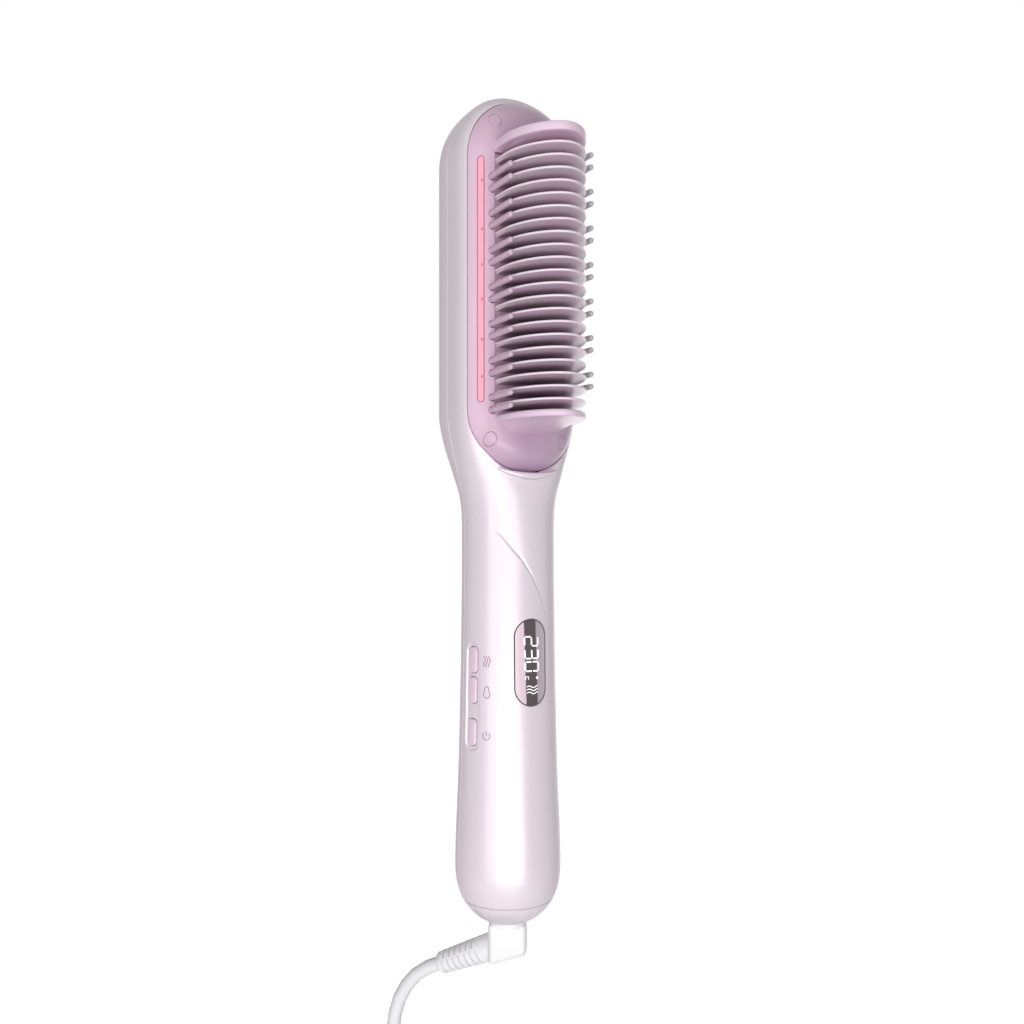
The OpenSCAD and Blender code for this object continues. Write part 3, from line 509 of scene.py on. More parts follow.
def plan_ring(width, long, corner, inset):
    """The plan drawn in by inset with the same number of points at each inset."""
    half = min(width, long) / 2
    w, l = max(width / 2 - inset, 0.0), max(long / 2 - inset, 0.0)
    r = max(corner * (1 - inset / half), 0.0)
    points = []
    turns, side = 10, 12
    for cx, cy, start in ((w - r, l - r, 0), (r - w, l - r, 90), (r - w, r - l, 180), (w - r, r - l, 270)):
        for k in range(turns + 1):
            a = math.radians(start + 90 * k / turns)
            points.append((cx + r * math.cos(a), cy + r * math.sin(a)))
        if start in (90, 270):
            x, y = points[-1]
            points += [(x, y * (1 - 2 * k / side)) for k in range(1, side)]
    return points


def on_handle(house, turn):
    """Surface of the handle seen from outside at a turn round the axis: across, height, outwards."""
    c, s = math.cos(math.radians(turn)), math.sin(math.radians(turn))

    def surface(p, q, out):
        r = house.handle_r(q) + out
        y = -math.sqrt(max(r * r - p * p, 0.0))
        return (p * c - y * s, p * s + y * c, q)

    return surface


def lifted(surface, centre_h):
    """The same surface with its heights counted from a centre."""
    return lambda p, q, out: surface(p, q + centre_h, out)


def disc(name, r, low, top, surface, **shape):
    """Round plaque."""
    return plaque(name, 2 * r, 2 * r, r, low, top, surface, **shape)


BUTTON_TURN = -76.0
BUTTON_GAP = 0.2
BUTTON_CORNER = 1.5
RECESS_W, RECESS_L, RECESS_D = 6.0, 36.0, 0.8
STEAM_UP, HEAT_UP, POWER_UP = 12.7, 2.3, -12.1
FILLER_H = 140.0
STOPPER_R = 5.4
SEAT_GAP = 0.24
WINDOW_SEAT_D = 1.7
STOPPER_SEAT_D = 1.3
CUT_OUT = 3
END_CAP_RIM_R = 7.6
END_CAP_HOLE_R = 7.1
END_CAP_FLOOR = 1.12


class BRUSH_OT_housing(bpy.types.Operator):
    """Front and rear shells with the seats of plate, window, buttons and stopper, and the end cap"""
    bl_idname = "brush.housing"
    bl_label = "Housing"

    def execute(self, context):
        size = sizes()
        house = Housing(size)
        paint = finish("pearl_paint")
        front = carve(shell_half(house, "front_housing", True), *self.front_cuts(size, house))
        piece(front, paint, "casing", "shell_plastic", "front_shell", angle=30)

        rear = shell_half(house, "rear_housing", False)
        seat = disc("stopper_seat", STOPPER_R + 0.2, -STOPPER_SEAT_D, CUT_OUT,
                    lifted(on_handle(house, 180), FILLER_H))
        hole = turned("filler_hole", ((0, 5), (4.6, 5), (4.6, 20), (0, 20)), 48,
                      Matrix.Translation(place(0, 0, FILLER_H)) @ Matrix.Rotation(-math.pi / 2, 4, "X"))
        piece(carve(rear, seat, hole), paint, "casing", "shell_plastic", "rear_shell", angle=30)

        cap_h = size["cap_h"]
        cap_r = house.handle_r(cap_h)
        inner = (END_CAP_RIM_R, cap_h - 1)
        heights = [END_CAP_FLOOR, 1.3, 1.6, 2.0, 2.5, 3.1, 3.8, 4.6, 5.5, 6.4, 7.4, 8.3, cap_h - 0.35]
        profile = [inner, (END_CAP_HOLE_R, 2.4), (END_CAP_HOLE_R, END_CAP_FLOOR)]
        profile += [(house.handle_r(h), h) for h in heights]
        profile += [(cap_r - 0.04, cap_h - 0.12), (cap_r - 0.14, cap_h - 0.04),
                    (END_CAP_RIM_R, cap_h - 0.04), inner]
        cap = turned("end_cap_skin", profile, 128, Matrix.Translation(place(0, 0, 0)))
        piece(cap, paint, "casing", "shell_plastic", "end_cap", angle=30)

        piece(self.lip(), paint, "casing", "shell_plastic", angle=40)
        return {"FINISHED"}

    def front_cuts(self, size, house):
        """Cutters for the plate's seat, the window, the recess with its bevel and the button holes."""
        gap_r, width = PLATE_R + SEAT_GAP, size["window_w"]
        seat = plate_rings(((0, 8), (gap_r, 8), (gap_r, house.plate_y), (gap_r + 6, house.plate_y + 6.5),
                            (gap_r + 6, 34), (0, 34)))
        window = plaque("window_seat", width, size["window_l"], width / 2, -WINDOW_SEAT_D, CUT_OUT,
                        lifted(on_handle(house, 0), size["window_h"]))
        side = on_handle(house, BUTTON_TURN)
        face = lifted(side, size["recess_h"])
        half = RECESS_W / 2
        recess = plaque("button_recess", RECESS_W, RECESS_L, half, -RECESS_D, CUT_OUT, face)
        bevel = []
        for wide, out, inset in ((0, -0.5, half - 0.01), (0, -0.5, 0), (1.0, 0.5, 0), (3.0, 2.5, 0),
                                 (3.0, 2.5, half + 2.99)):
            outline = plan_ring(RECESS_W + 2 * wide, RECESS_L + 2 * wide, half + wide, inset)
            bevel.append([face(p, q, out) for p, q in outline])
        holes = [plaque("button_hole", size["button_w"] + 2 * BUTTON_GAP, size["button_l"] + 2 * BUTTON_GAP,
                        BUTTON_CORNER + BUTTON_GAP, -3, CUT_OUT, lifted(side, size["recess_h"] + up))
                 for up in (STEAM_UP, HEAT_UP, POWER_UP)]
        return (loft("plate_seat", seat, ends=False), window, recess,
                loft("recess_bevel", bevel, ends=False), joined("button_holes", holes))

    def lip(self):
        """Crescent under the plate, rounded along its edges."""
        low = HANDLE_L - 2.6
        under_r, over_r, over_c, span, end_t, round_r = 24.0, 47.2, 49.4, 11.4, 1.5, 0.85
        front_r, front_back, root_y = 23.0, 5.4, -10.0
        rings = []
        for k in range(49):
            x = span * math.sin(math.radians(-90 + 180 * k / 48)) * 0.995
            z0 = low + under_r - math.sqrt(under_r ** 2 - x * x)
            z1 = low + over_c - math.sqrt(over_r ** 2 - x * x)
            z1 = max(z1, z0 + end_t * math.sqrt(max(1 - (x / span) ** 2, 0.0)) + 0.05)
            r = min(round_r, (z1 - z0) / 2 * 0.98)
            y = math.sqrt(front_r ** 2 - x * x) - front_back
            ring = [(x, root_y, z0)]
            for a in (math.radians(30 * step) for step in range(-3, 4)):
                up = r * math.sin(a)
                ring.append((x, r * (1 - math.cos(a)) - y, (z0 + r + up) if up <= 0 else (z1 - r + up)))
            ring.append((x, root_y, z1))
            rings.append(ring)
        return loft("plate_lip", rings)


# Face plate

def dome(q):
    """Share of the crown at a share of the plate's radius."""
    return 1 - min(q, 1.0) ** 5


def on_plate(size):
    """Surface of the plate: across, height, outwards."""
    half = PLATE_L / 2 - PLATE_R
    base = CROWN_Y - size["crown"]

    def surface(p, q, out):
        rest = max(q - PLATE_MID - half + PLATE_TOP_IN, PLATE_MID - q - half, 0.0)
        return (p, -(base + size["crown"] * dome(math.hypot(p, rest) / PLATE_R) + plate_rise(q) + out), q)

    return surface


CAP_R = 2.35
CAP_SEAT_D = 0.7
CAP_SQUEEZE = 0.74
CAP_SPOTS = ((-14.8, 10.4), (12.6, 10.4), (-12.8, PLATE_L - 10), (12.4, PLATE_L - 10))
FIN_COUNT = 21
COMB_MID = PLATE_MID - 0.8
COMB_L = (FIN_COUNT - 1) * FIN_PITCH + 4
PIN_LEAN = 0.8
PLATE_SKIRT = 2.8
PLATE_RIM = 0.3
STRIP_X = PIN_X + PIN_R + 1.592
STRIP_L, STRIP_W = 82.0, 2.15
STRIP_UP = 0.7
STRIP_GAP = 0.28
STRIP_D = 0.9
OUTLETS = (33, 16.5, 4.8, -6.8, -20.2, -32.6)


def pin_heights(first, pitch):
    """Heights of a row of pins, which stand in pairs, one pair to three fins."""
    return [COMB_MID + ((FIN_COUNT + 1) / 2 - first - 3 * k - d) * pitch
            for k in range(FIN_COUNT // 3) for d in (0, 1)]


def stud(name, x, h, y0, y1, r, steps=24):
    """Plain round cutter along Y."""
    bpy.ops.mesh.primitive_cylinder_add(vertices=steps, radius=r * MM, depth=(y1 - y0) * MM,
                                        rotation=(math.pi / 2, 0, 0), location=place(x, (y0 + y1) / 2, h))
    obj = bpy.context.object
    bpy.ops.object.transform_apply(location=True, rotation=True, scale=True)
    obj.name = name
    return obj


def strip_surface(size):
    """Slope of the plate under the steam strip."""
    lean = math.atan(5 * size["crown"] * (STRIP_X / PLATE_R) ** 4 / PLATE_R)
    x0, y0, h0 = on_plate(size)(-STRIP_X, COMB_MID + STRIP_UP, 0)
    c, s = math.cos(lean), math.sin(lean)
    return lambda p, up, out: (x0 + (p * c - out * s), y0 + (-p * s - out * c), h0 + up)


class BRUSH_OT_face_plate(bpy.types.Operator):
    """Domed face plate with its screw caps and the steam strip"""
    bl_idname = "brush.face_plate"
    bl_label = "Face plate"

    def execute(self, context):
        size = sizes()
        base, crown, wall = CROWN_Y - size["crown"], size["crown"], size["plate_t"]
        under, inner_r = base - wall, PLATE_R - wall * 0.8
        spans = [k / 20 for k in range(16)] + [0.79, 0.83, 0.86, 0.89, 0.915, 0.94, 0.96, 0.975, 0.988]
        profile = [(q * PLATE_R, base + crown * dome(q)) for q in spans]
        profile += [(PLATE_R - PLATE_RIM * 0.35, base + 0.2), (PLATE_R - 0.02, base - 0.02),
                    (PLATE_R, base - PLATE_RIM), (PLATE_R, under), (PLATE_R, under - PLATE_SKIRT),
                    (inner_r, under - PLATE_SKIRT), (inner_r, under)]
        profile += [(q * inner_r, under + crown * dome(q))
                    for q in (0.97, 0.93, 0.88, 0.82, 0.75, 0.65, 0.5, 0.3, 0)]
        plate = loft("domed_plate", plate_rings(profile, under + 0.001), ends=False)

        # The plate finish paints a highlight and shade across the plate, its screw caps and the filler
        # stopper
        top, slope, lilac = on_plate(size), strip_surface(size), finish("plate_lilac_painted_light")
        opening = slab(size["fin_w"] + 0.4, 60, COMB_L + 0.4, -20, COMB_MID)
        studs = [stud("pin_hole", sign * (size["pin_x"] - PIN_LEAN), h, -30, -2, size["pin_r"] + 0.3)
                 for sign, first in ((-1, 2.5), (1, 0.5)) for h in pin_heights(first, size["fin_pitch"])]
        spots = [self.spot(top, x, HANDLE_L + up) for x, up in CAP_SPOTS]
        seats = [disc("cap_seat", CAP_R + 0.15, -CAP_SEAT_D, 4, spot) for spot in spots]
        slot = plaque("strip_slot", STRIP_W + 2 * STRIP_GAP, STRIP_L + 2 * STRIP_GAP,
                      STRIP_W / 2 + STRIP_GAP, -STRIP_D, CUT_OUT, slope)
        carve(plate, opening, joined("pin_holes", studs), joined("cap_seats", seats), slot)
        piece(plate, lilac, "casing", "plate_plastic", "face_plate", angle=30)

        caps = [disc("cap", CAP_R, 0.05 - CAP_SEAT_D, 0.06, spot, edge=0.18) for spot in spots]
        piece(joined("screw_covers", caps), lilac, "casing", "plate_plastic", "screw_caps", angle=40)

        strip = plaque("strip", STRIP_W, STRIP_L, STRIP_W / 2, 0.05 - STRIP_D, 0.3, slope, edge=0.35,
                       crown=0.1)
        outlets = []
        for up in OUTLETS:
            start = slope(0.6, up, 3)
            inwards = (Vector(slope(0.6, up, -2)) - Vector(start)).to_track_quat("Z", "Y")
            outlets.append(turned("outlet", ((0, 0), (0.5, 0), (0.5, 5), (0, 5)), 20,
                                  Matrix.Translation(place(*start)) @ inwards.to_matrix().to_4x4()))
        carve(strip, joined("outlets", outlets))
        # The strip's finish has a painted glow, a faint emission of its own pink
        piece(strip, finish("strip_pink_painted_glow"), "casing", "strip_plastic", "steam_strip", angle=40)
        return {"FINISHED"}

    def spot(self, top, x, h):
        """Plate's surface round a place, drawn narrower across, as the caps look."""
        return lambda p, q, out: top(CAP_SQUEEZE * p + x, q + h, out)


# Comb

# Share from root (0) to rim (1) at each place of a blade's ring, read by the painted shade of fins and
# guards
BLADE_SHADE_TAGS = (0.0, 0.25, 0.5) + (1.0,) * 9 + (0.5, 0.25, 0.0)
BLADE_POWER = 1.11
SHADE_IN = 4.2
COMB_FLOOR = 1.7
COMB_DEPTH = 3.8
FIN_DROP = 0.45
FIN_T = 0.8


def part_way(start, end, height, sign):
    """Place on a blade's face, SHADE_IN from its rim towards its root, where the painted shade steps."""
    span = math.hypot(end[0] - start[0], end[1] - start[1])
    t = min(SHADE_IN / max(span, 0.01), 0.9)
    x, y, up = (a + (b - a) * t for a, b in zip(start, end))
    return (x, -y, height + sign * up)


def blade_rings(size, height, rim, round_r, roots, widths):
    """Rings of one blade: rim round the plan with rounded edges, root lines on the comb's floor.

    Roots are the half thicknesses above and below at the floor, widths the half widths there.
    """
    tip, nose, half = CROWN_Y + size["fin_reach"], size["fin_nose"], size["fin_w"] / 2
    root_y = CROWN_Y - COMB_FLOOR - 0.4
    steps = 56

    def plan_point(k, inset):
        if k in (0, steps):
            return (math.copysign(half - inset, steps / 2 - k), root_y)
        t = math.pi * (k - 1) / (steps - 2)
        c, s = math.cos(t), math.sin(t)
        return (math.copysign((half - inset) * abs(c) ** BLADE_POWER, c),
                tip - nose + (nose - inset) * s ** BLADE_POWER)

    turns = [(round_r * (1 - math.cos(math.radians(a))),
              math.copysign(rim / 2 - round_r, a) + round_r * math.sin(math.radians(a)))
             for a in (90, 67, 45, 22, 0, -22, -45, -67, -90)]
    shoulder = 0.9 * rim / 2
    rings = []
    for k in range(steps + 1):
        c = math.cos(math.pi * k / steps)
        x, y = plan_point(k, 1.1 * rim)
        rounded = []
        for inset, up in turns:
            across, out = plan_point(k, inset)
            rounded.append((across, -out, height + up))
        rings.append([
            (widths[0] * c, -root_y, height + roots[0]),
            part_way((x, y, shoulder), (widths[0] * c, root_y, roots[0]), height, 1),
            (x, -y, height + shoulder), *rounded, (x, -y, height - shoulder),
            part_way((x, y, shoulder), (widths[1] * c, root_y, roots[1]), height, -1),
            (widths[1] * c, -root_y, height - roots[1])])
    return rings


class BRUSH_OT_comb(bpy.types.Operator):
    """Heated comb with its fins, and the two cool guards"""
    bl_idname = "brush.comb"
    bl_label = "Comb"

    def execute(self, context):
        size = sizes()
        pitch, width = size["fin_pitch"], size["fin_w"]
        top_fin = COMB_MID + (FIN_COUNT - 1) / 2 * pitch
        root = (width * 0.46, width * 0.46)
        # The fins carry shade tags for the painted shade of their coat
        fin = loft("fin", blade_rings(size, top_fin - FIN_DROP, FIN_T, FIN_T / 2, (1.15, 1.15), root),
                   shade_tags=BLADE_SHADE_TAGS)
        fins = [fin] + [copy_of(fin, "fin", (0, 0, -k * pitch * MM)) for k in range(1, FIN_COUNT)]
        base = slab(width, COMB_DEPTH, COMB_L, COMB_DEPTH / 2 - CROWN_Y + COMB_FLOOR, COMB_MID)
        apply_modifier(base, "BEVEL", width=0.3 * MM, segments=3)
        comb = joined("fin_comb", fins + [base])
        piece(comb, finish("fin_coat_painted_shade"), "casing", "comb_metal", "heater_comb", angle=38)

        coat = finish("guard_lilac_painted_shade")
        above, below = top_fin + 1.03 * pitch + 0.5, top_fin - FIN_COUNT * pitch - 0.8
        for name, solid, height, rim, round_r, roots, low_share in (
                ("upper_guard", "top_guard", above, 3.0, 0.6, (1.5, 2.5), 0.48),
                ("lower_guard", "bottom_guard", below, 2.3, 0.9, (1.5, 5.0), 0.29)):
            # The guards carry shade tags for the painted shade of their finish
            rings = blade_rings(size, height, rim, round_r, roots, (width * 0.48, width * low_share))
            piece(loft(name, rings, shade_tags=BLADE_SHADE_TAGS), coat, "casing", "plate_plastic", solid, angle=38)
        return {"FINISHED"}


class BRUSH_OT_pins(bpy.types.Operator):
    """Cool pins beside the comb"""
    bl_idname = "brush.pins"
    bl_label = "Pins"

    def execute(self, context):
        size = sizes()
        r, tip = size["pin_r"], -node_box("left_pins")[0].y
        start = CROWN_Y - size["crown"] - 1
        profile = [(0, start), (r, start), (r, tip - 6)]
        profile += [(r * math.cos(a) * 0.96, tip - r + r * math.sin(a))
                    for a in (math.radians(15 * k) for k in range(6))] + [(0, tip)]
        # The right row wears its own lighter grey copy of the pins' finish, painting light into the comb's
        # shade
        for name, node, x, first, look in (("left_pin_row", "left_pins", -size["pin_x"], 2.5, "pin_mauve"),
                                           ("right_pin_row", "right_pins", size["pin_x"], 0.5, "pin_grey_painted_light")):
            heights = pin_heights(first, size["fin_pitch"])
            matrix = Matrix.Translation(place(x, 0, heights[0])) @ Matrix.Rotation(math.pi / 2, 4, "X")
            pin = turned("pin", profile, 24, matrix)
            for v in pin.data.vertices:
                v.co.x -= math.copysign(PIN_LEAN, x) * (v.co.y + tip * MM) / (tip - start)
            row = [pin] + [copy_of(pin, "pin", (0, 0, (h - heights[0]) * MM)) for h in heights[1:]]
            piece(joined(name, row), finish(look), "casing", "pin_plastic", node, angle=40)
        return {"FINISHED"}


# Display and buttons

def ribbon(points, width, surface, low, high):
    """Flat printed line along points on a surface, as (points, faces)."""
    count = len(points)
    sides = []
    for i, (p, q) in enumerate(points):
        a, b = points[max(i - 1, 0)], points[min(i + 1, count - 1)]
        dx, dy = b[0] - a[0], b[1] - a[1]
        size = math.hypot(dx, dy) or 1
        nx, ny = -dy / size * width / 2, dx / size * width / 2
        sides.append(((p + nx, q + ny), (p - nx, q - ny)))
    ring = [s[0] for s in sides] + [s[1] for s in reversed(sides)]
    verts = [place(*surface(p, q, out)) for out in (low, high) for p, q in ring]
    n = len(ring)
    faces = [(j, (j + 1) % n, n + (j + 1) % n, n + j) for j in range(n)]
    for i in range(count - 1):
        quad = (i, i + 1, n - 2 - i, n - 1 - i)
        faces += [quad[::-1], tuple(n + j for j in quad)]
    return verts, faces


def printed(name, lines, width, surface, low=-0.04, high=0.05):
    """One object from many printed lines."""
    parts = []
    for line in lines:
        verts, faces = ribbon(line, width, surface, low, high)
        parts.append(tidy_mesh(new_object("line", verts, faces), merge=0.0005))
    return joined(name, parts)


SEGMENTS = {
    "a": ((0, 2), (1, 2)), "b": ((1, 2), (1, 1)), "c": ((1, 1), (1, 0)), "d": ((0, 0), (1, 0)),
    "e": ((0, 1), (0, 0)), "f": ((0, 2), (0, 1)), "g": ((0, 1), (1, 1)),
}
DIGITS = {"2": "abged", "3": "abgcd", "0": "abcdef"}


def digit_lines(digit, width, half_tall, gap):
    """Strokes of a seven-segment digit, each shortened by a gap at both ends."""
    lines = []
    for segment in DIGITS[digit]:
        (x0, y0), (x1, y1) = [(x * width, y * half_tall) for x, y in SEGMENTS[segment]]
        span = math.hypot(x1 - x0, y1 - y0)
        dx, dy = (x1 - x0) / span * gap, (y1 - y0) / span * gap
        lines.append([(x0 + dx, y0 + dy), (x1 - dx, y1 - dy)])
    return lines


def wave(x0, x1, y, sway, steps=24):
    """Wavy line from x0 to x1."""
    return [(x0 + (x1 - x0) * k / steps, y + sway * math.sin(FULL_TURN * 1.25 * k / steps))
            for k in range(steps + 1)]


BAND_SLANT = 0.027
DIGIT_W, DIGIT_HALF, DIGIT_GAP = 3.15, 2.6, 0.28
DIGIT_TOP, DIGIT_STEP = 8.8, 4.27


class BRUSH_OT_display(bpy.types.Operator):
    """Display window with its dark band and lit signs"""
    bl_idname = "brush.display"
    bl_label = "Display"

    def execute(self, context):
        size = sizes()
        surface = lifted(on_handle(Housing(size), 0), size["window_h"])

        def pane(name, inset, low, top, edge=0.0):
            width, long = size["window_w"] - 2 * inset, size["window_l"] - 2 * inset
            return plaque(name, width, long, width / 2, low, top, surface, edge=edge)

        rim = carve(pane("window_rim", 0.03, -1.5, -0.12), pane("rim_hollow", 0.45, -1.2, 2))
        piece(rim, finish("window_rim"), "casing", "window_plastic", angle=40)
        window = pane("window_pane", 0.46, -1.15, -0.1, edge=0.15)
        piece(window, finish("window_band_and_painted_reflection"), "casing", "window_plastic", "display_window", angle=40)

        def slanted(p, q, out):
            return surface(p - BAND_SLANT * q, q, out)

        lines = [[(y - DIGIT_HALF + 0.2, DIGIT_TOP - index * DIGIT_STEP - x) for x, y in line]
                 for index, digit in enumerate("230")
                 for line in digit_lines(digit, DIGIT_W, DIGIT_HALF, DIGIT_GAP)]
        ring = [(2.1 + 0.32 * math.cos(a), -5.24 + 0.32 * math.sin(a))
                for a in (FULL_TURN * k / 16 for k in range(17))]
        unit = [(-1.35, -5.75), (-1.35, -4.75), (-2.45, -4.75), (-2.45, -5.75)]
        small = [ring, unit] + [wave(-2.1, 2.15, -8.2 - 1.05 * k, 0.3) for k in range(3)]
        signs = joined("display_signs", [printed("digits", lines, 0.5, slanted, -0.12, -0.04),
                                         printed("small_signs", small, 0.28, slanted, -0.12, -0.04)])
        piece(signs, finish("display_light"), "casing", "window_plastic")
        return {"FINISHED"}


MARKS_TURN = -54.5


class BRUSH_OT_buttons(bpy.types.Operator):
    """Three push buttons and the printed marks beside them"""
    bl_idname = "brush.buttons"
    bl_label = "Buttons"

    def execute(self, context):
        size = sizes()
        house = Housing(size)
        side = on_handle(house, BUTTON_TURN)
        lilac = finish("button_lilac")
        for name, up in (("steam", STEAM_UP), ("temperature", HEAT_UP), ("power", POWER_UP)):
            pill = plaque(name + "_pill", size["button_w"] - 0.3, size["button_l"], BUTTON_CORNER, -3.4, 0.1,
                          lifted(side, size["recess_h"] + up), edge=0.45, crown=0.1)
            piece(pill, lilac, name + "_key", "button_plastic", name + "_button", angle=50)

        steam_h, heat_h, power_h = (size["recess_h"] + up for up in (12.4, 2.05, -12.7))
        marks = [[(0.95 * k - 0.34 * math.sin(2.6 * math.pi * t / 20), steam_h - 1.9 + 3.8 * t / 20)
                  for t in range(21)] for k in (-1, 0, 1)]
        bulb = [(1.2 * math.sin(a), -0.85 - 1.2 * math.cos(a)) for a in
                (math.radians(-130 + 260 * k / 28) for k in range(29))]
        stem = [(0.72, 1.1)] + [(0.72 * math.cos(a), 1.1 + 0.72 * math.sin(a)) for a in
                                (math.radians(15 * k) for k in range(1, 13))]
        marks.append([(x, y + heat_h) for x, y in bulb + stem + [bulb[0]]])
        marks.append([(1.35 * math.sin(a), power_h - 0.1 + 1.35 * math.cos(a))
                      for a in (math.radians(48 + 264 * k / 30) for k in range(31))])
        marks.append([(0, power_h - 0.2), (0, power_h + 1.4)])
        signs = printed("button_marks", marks, 0.33, on_handle(house, MARKS_TURN), -0.05, 0.03)
        piece(signs, finish("mark_pink"), "casing", "shell_plastic")
        return {"FINISHED"}


# Swivel, strain relief and cord

CORD_TURN = 54.0
BOOT_FALL = 24.0
BOOT_H = -9.4
BLOCK_TOP = 0.6
BLOCK_FALL = 16.4
BLOCK_YAW = 22.0
BLOCK_L = 13.5
BLOCK_DEPTH = 18
BLOCK_FLOOR = 10.2
BLOCK_ROUND = 1.8
FLOOR_ROUND = 0.5


def cord_frame(x, y, h):
    """Place given in the cord's own frame, where the cord leaves towards -X."""
    c, s = math.cos(math.radians(-CORD_TURN)), math.sin(math.radians(-CORD_TURN))
    return (x * c - y * s, x * s + y * c, h)


def cord_matrix():
    """Carries a mesh from the cord's own frame into the object's."""
    return Matrix.Translation((0, 0, -GRIP_H * MM)) @ Matrix.Rotation(math.radians(-CORD_TURN), 4, "Z")


class BRUSH_OT_swivel(bpy.types.Operator):
    """Swivel block under the end cap and the ribbed strain relief"""
    bl_idname = "brush.swivel"
    bl_label = "Swivel"

    def execute(self, context):
        size = sizes()
        depth = BLOCK_DEPTH + BLOCK_TOP
        fall = math.radians(BLOCK_FALL)
        block = slab(BLOCK_L, size["block_w"], depth, 0, GRIP_H + BLOCK_TOP - depth / 2)
        edited(block, (bpy.ops.mesh.bisect, {
            "plane_co": (BLOCK_L / 2 * MM, 0, -BLOCK_FLOOR * MM), "use_fill": True, "clear_outer": True,
            "plane_no": (math.sin(fall), 0, -math.cos(fall))}))
        self.round_edges(block, BLOCK_ROUND, upright=True)
        self.round_edges(block, FLOOR_ROUND, upright=False)
        block.data.transform(cord_matrix() @ Matrix.Rotation(math.radians(BLOCK_YAW), 4, "Z"))
        profile = ((0, -1), (6.7, -1), (6.7, 1.45), (6.55, 1.6), (5, 1.6), (5, 12), (0, 12))
        neck = turned("swivel_neck", profile, 96, Matrix.Translation(place(0, 0, 0)))
        white = finish("white_satin")
        piece(joined("swivel_housing", [block, neck]), white, "cord_swivel", "white_plastic", "swivel_block",
              angle=40)
        piece(self.boot(size), white, "cord_swivel", "white_plastic", "strain_relief", angle=28)
        return {"FINISHED"}

    def round_edges(self, block, width, upright):
        """Rounds the upright edges, or the rim of the sloped floor."""
        edited(block, action="DESELECT")
        mesh = block.data
        top = max(v.co.z for v in mesh.vertices)
        for edge in mesh.edges:
            a, b = (mesh.vertices[i].co for i in edge.vertices)
            plumb = abs(a.x - b.x) < 1e-6 and abs(a.y - b.y) < 1e-6
            if upright:
                edge.select = plumb
            else:
                edge.select = not plumb and max(a.z, b.z) < top - 4 * MM and self.on_rim(mesh, edge)
        bpy.ops.object.mode_set(mode="EDIT")
        bpy.ops.mesh.select_mode(type="EDGE")
        bpy.ops.mesh.bevel(offset=width * MM, segments=8 if upright else 4, affect="EDGES")
        bpy.ops.object.mode_set(mode="OBJECT")

    def on_rim(self, mesh, edge):
        """Whether an edge lies between the sloped floor and a side."""
        faces = [f for f in mesh.polygons if set(edge.vertices) <= set(f.vertices)]
        return len(faces) == 2 and (faces[0].normal.z < -0.5) != (faces[1].normal.z < -0.5)

    def boot(self, size):
        """Tapered relief with half-ring slits, staggered above and below."""
        l, r0, r1 = size["boot_l"], size["boot_r"], size["boot_tip_r"]
        pitch, slit, deep, steps = 2.55, 0.6, 1.0, 96
        slits_turn, bridge = math.radians(24), math.sin(math.radians(5))
        upper, lower = ([l - end - i * pitch for i in range(7)] for end in (1.4, 2.8))
        stations = {-3.9, 0.0, l - 0.5, l}
        for s in upper + lower:
            stations |= {s, s + 0.05, s + slit - 0.05, s + slit}
        fall = math.radians(BOOT_FALL)

        def spot(s, across, up):
            x = -size["block_l"] / 2 - s * math.cos(fall) - up * math.sin(fall)
            return cord_frame(x, across, BOOT_H - s * math.sin(fall) + up * math.cos(fall))

        def radius(s, a):
            r = r0 + (r1 - r0) * max(s, 0) / l - (0.35 if s > l - 0.4 else 0)
            side = math.sin(a + slits_turn)
            cut = any(t + 0.02 < s < t + slit - 0.02 for t in (upper if side > 0 else lower))
            return r - deep if cut and abs(side) > bridge else r

        rings = []
        for s in sorted(stations):
            turns = ((a, radius(s, a)) for a in (FULL_TURN * k / steps for k in range(steps)))
            rings.append([spot(s, r * math.cos(a), r * math.sin(a)) for a, r in turns])
        return loft("ribbed_relief", rings)


CORD_X = 47.0
CORD_ROUTE = ((26.55, -18.55), (32, -21), (37, -24.5), (41, -29), (44.2, -34.5), (46.2, -41), (47, -48),
              (47, -60), (47, -74), (47, -88))
HANK_H = -130.0
HANK_RUN = 84.0
HANK_OUTER = 33.0
HANK_STEP = 6.6
HANK_WAIST = 9.0
HANK_TURNS = 5.25
HANK_X = HANK_OUTER - CORD_X
TAIL_L = 38.0


def hank_place(t):
    """Point of the hank after t turns, in the cord's own frame. Midway it crosses to a second layer."""
    part = t - math.floor(t)
    r = HANK_OUTER - HANK_STEP * min(t, HANK_TURNS - t)
    y = HANK_STEP if t > 2.75 else 0.0
    if 2.5 < t <= 2.75:
        y = HANK_STEP * (1 - math.cos(math.radians((t - 2.5) * 720))) / 2

    def drawn(z):
        return HANK_WAIST * math.cos(math.radians(180 * z / HANK_RUN)) ** 2

    if part < 0.25:
        z = HANK_RUN * (0.5 - 4 * part)
        x = drawn(z) - r
    elif part < 0.5:
        a = math.radians((part - 0.25) * 720)
        x, z = -r * math.cos(a), -HANK_RUN / 2 - r * math.sin(a)
    elif part < 0.75:
        z = HANK_RUN * (4 * part - 2.5)
        x = r - drawn(z)
    else:
        a = math.radians((part - 0.75) * 720)
        x, z = r * math.cos(a), HANK_RUN / 2 + r * math.sin(a)
    return (x + HANK_X, y, z + HANK_H)


